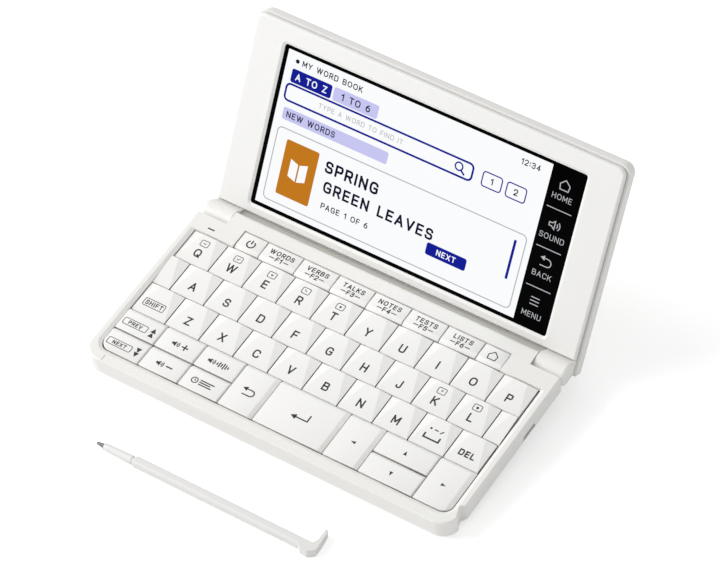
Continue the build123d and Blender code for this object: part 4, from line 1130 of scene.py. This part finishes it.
# The strip at the right of the picture stays black and shows four touch signs in grey light:
# a house, a loudspeaker, an arrow that turns round and a list, with a line between each two.
SIGN_X = PICTURE_RIGHT + 6.0
SOUND_Y = 47.0
horn = [(-1.9, -0.6), (-0.9, -0.6), (0.2, -1.5), (0.2, 1.5), (-0.9, 0.6), (-1.9, 0.6)]
horn = [(SIGN_X - 0.2 + x, SOUND_Y + y) for x, y in horn]
turnback = [(-0.6, 1.5), (0.9, 1.5)] + arc(0.9, 0.05, 1.45, 80, -90, 10) + [(-1.7, -1.4)]
signs = [house_sign(SIGN_X, 62.0, 1.65, 0.36), stroke(horn, 0.36, True, SHEET)]
for reach in (1.0, 1.9):
    signs.append(stroke(arc(SIGN_X + 0.1, SOUND_Y, reach, -48, 48, 10), 0.34, False, SHEET))
signs.append(stroke([(SIGN_X + x, 32.8 + y) for x, y in turnback], 0.36, False, SHEET))
signs.append(flat_shape([arrowhead(SIGN_X - 1.2, 34.3, 1.6, 1.9, 180)], SHEET))
for level in (16.5, 17.8, 19.1):
    signs.append(stroke([(SIGN_X - 1.7, level), (SIGN_X + 1.7, level)], 0.34, False, SHEET))
for level in (52.8, 37.85, 22.9):
    signs.append(stroke([(SIGN_X - 4.7, level), (SIGN_X + 4.9, level)], 0.32, False, SHEET))
for label, level in (("HOME", 57.4), ("SOUND", 42.3), ("BACK", 28.0), ("MENU", 12.6)):
    signs += lettering(label, SIGN_X, level, 2.1, 0.24, SHEET)
printed("display_side_signs", signs, sheet_place(0), "lid", grey_light)

# ================================================================ stylus
# A slim white barrel with a hooked head; its point is a softer grey acetal rod.
barrel_tones = ((0.800, 0.794, 0.776), (0.780, 0.774, 0.754))
stylus_white, shader = moulded("stylus white", *barrel_tones, 0.30, 0.40, 150.0)
set_material(nodes["stylus"], stylus_white)
stylus_grey, shader = moulded("stylus point", (0.19, 0.19, 0.19), (0.16, 0.16, 0.16), 0.35, 0.5, 400.0)
set_material(nodes["stylus_tip"], stylus_grey)


# ================================================================ table and light
# A white table under a bright, even studio: a large soft lamp at the left, a weak fill at the
# right and a pale dome.
def white_table():
    """Matt white table; the camera sees it as bright as the backdrop, apart from shadows."""
    bpy.ops.object.select_all(action="DESELECT")
    bpy.ops.mesh.primitive_plane_add(size=8.0, location=(0, 0, -0.0001))
    table = bpy.context.object
    table.name = "table"
    material, tree, shader = new_material("table")
    fine = add_node(tree, "TexNoise", {"Scale": 200.0}).outputs["Fac"]
    paper = mixed(tree, fine, (0.90, 0.90, 0.90, 1), (0.92, 0.92, 0.92, 1))
    feed(tree, shader, {"Base Color": paper, "Roughness": 0.9, "Specular IOR Level": 0.0})
    seen = add_node(tree, "LightPath", {}).outputs["Is Camera Ray"]
    lift = maths(tree, "MULTIPLY", seen, 0.4)
    feed(tree, shader, {"Emission Color": (1, 1, 1, 1), "Emission Strength": lift})
    set_material(table, material)


def studio_dome():
    """A dome that is plain white to the eye and in reflections, and gentler as a light."""
    world = bpy.data.worlds.new("studio")
    bpy.context.scene.world = world
    world.use_nodes = True
    tree = world.node_tree
    rays = add_node(tree, "LightPath", {}).outputs
    clear = maths(tree, "MAXIMUM", rays["Is Camera Ray"], rays["Is Glossy Ray"])
    clear = maths(tree, "MAXIMUM", clear, rays["Is Transmission Ray"])
    strength = add_node(tree, "MapRange", {"Value": clear, "To Min": 0.55, "To Max": 1.0}).outputs["Result"]
    feed(tree, tree.nodes["Background"], {"Color": (1, 1, 1, 1), "Strength": strength})


def soft_lamp(name, place, size, power):
    """A square lamp that looks at the dictionary."""
    bpy.ops.object.light_add(type="AREA", location=place)
    lamp = bpy.context.object
    lamp.name = name
    lamp.data.size = size
    lamp.data.energy = power
    lamp.rotation_euler = (-lamp.location).to_track_quat("-Z", "Y").to_euler()


white_table()
studio_dome()
soft_lamp("left lamp", (-1.30, -0.60, 0.96), 1.3, 23.5)
soft_lamp("right fill", (1.40, -0.20, 0.60), 1.5, 2.4)
bpy.context.scene.view_settings.view_transform = "Standard"
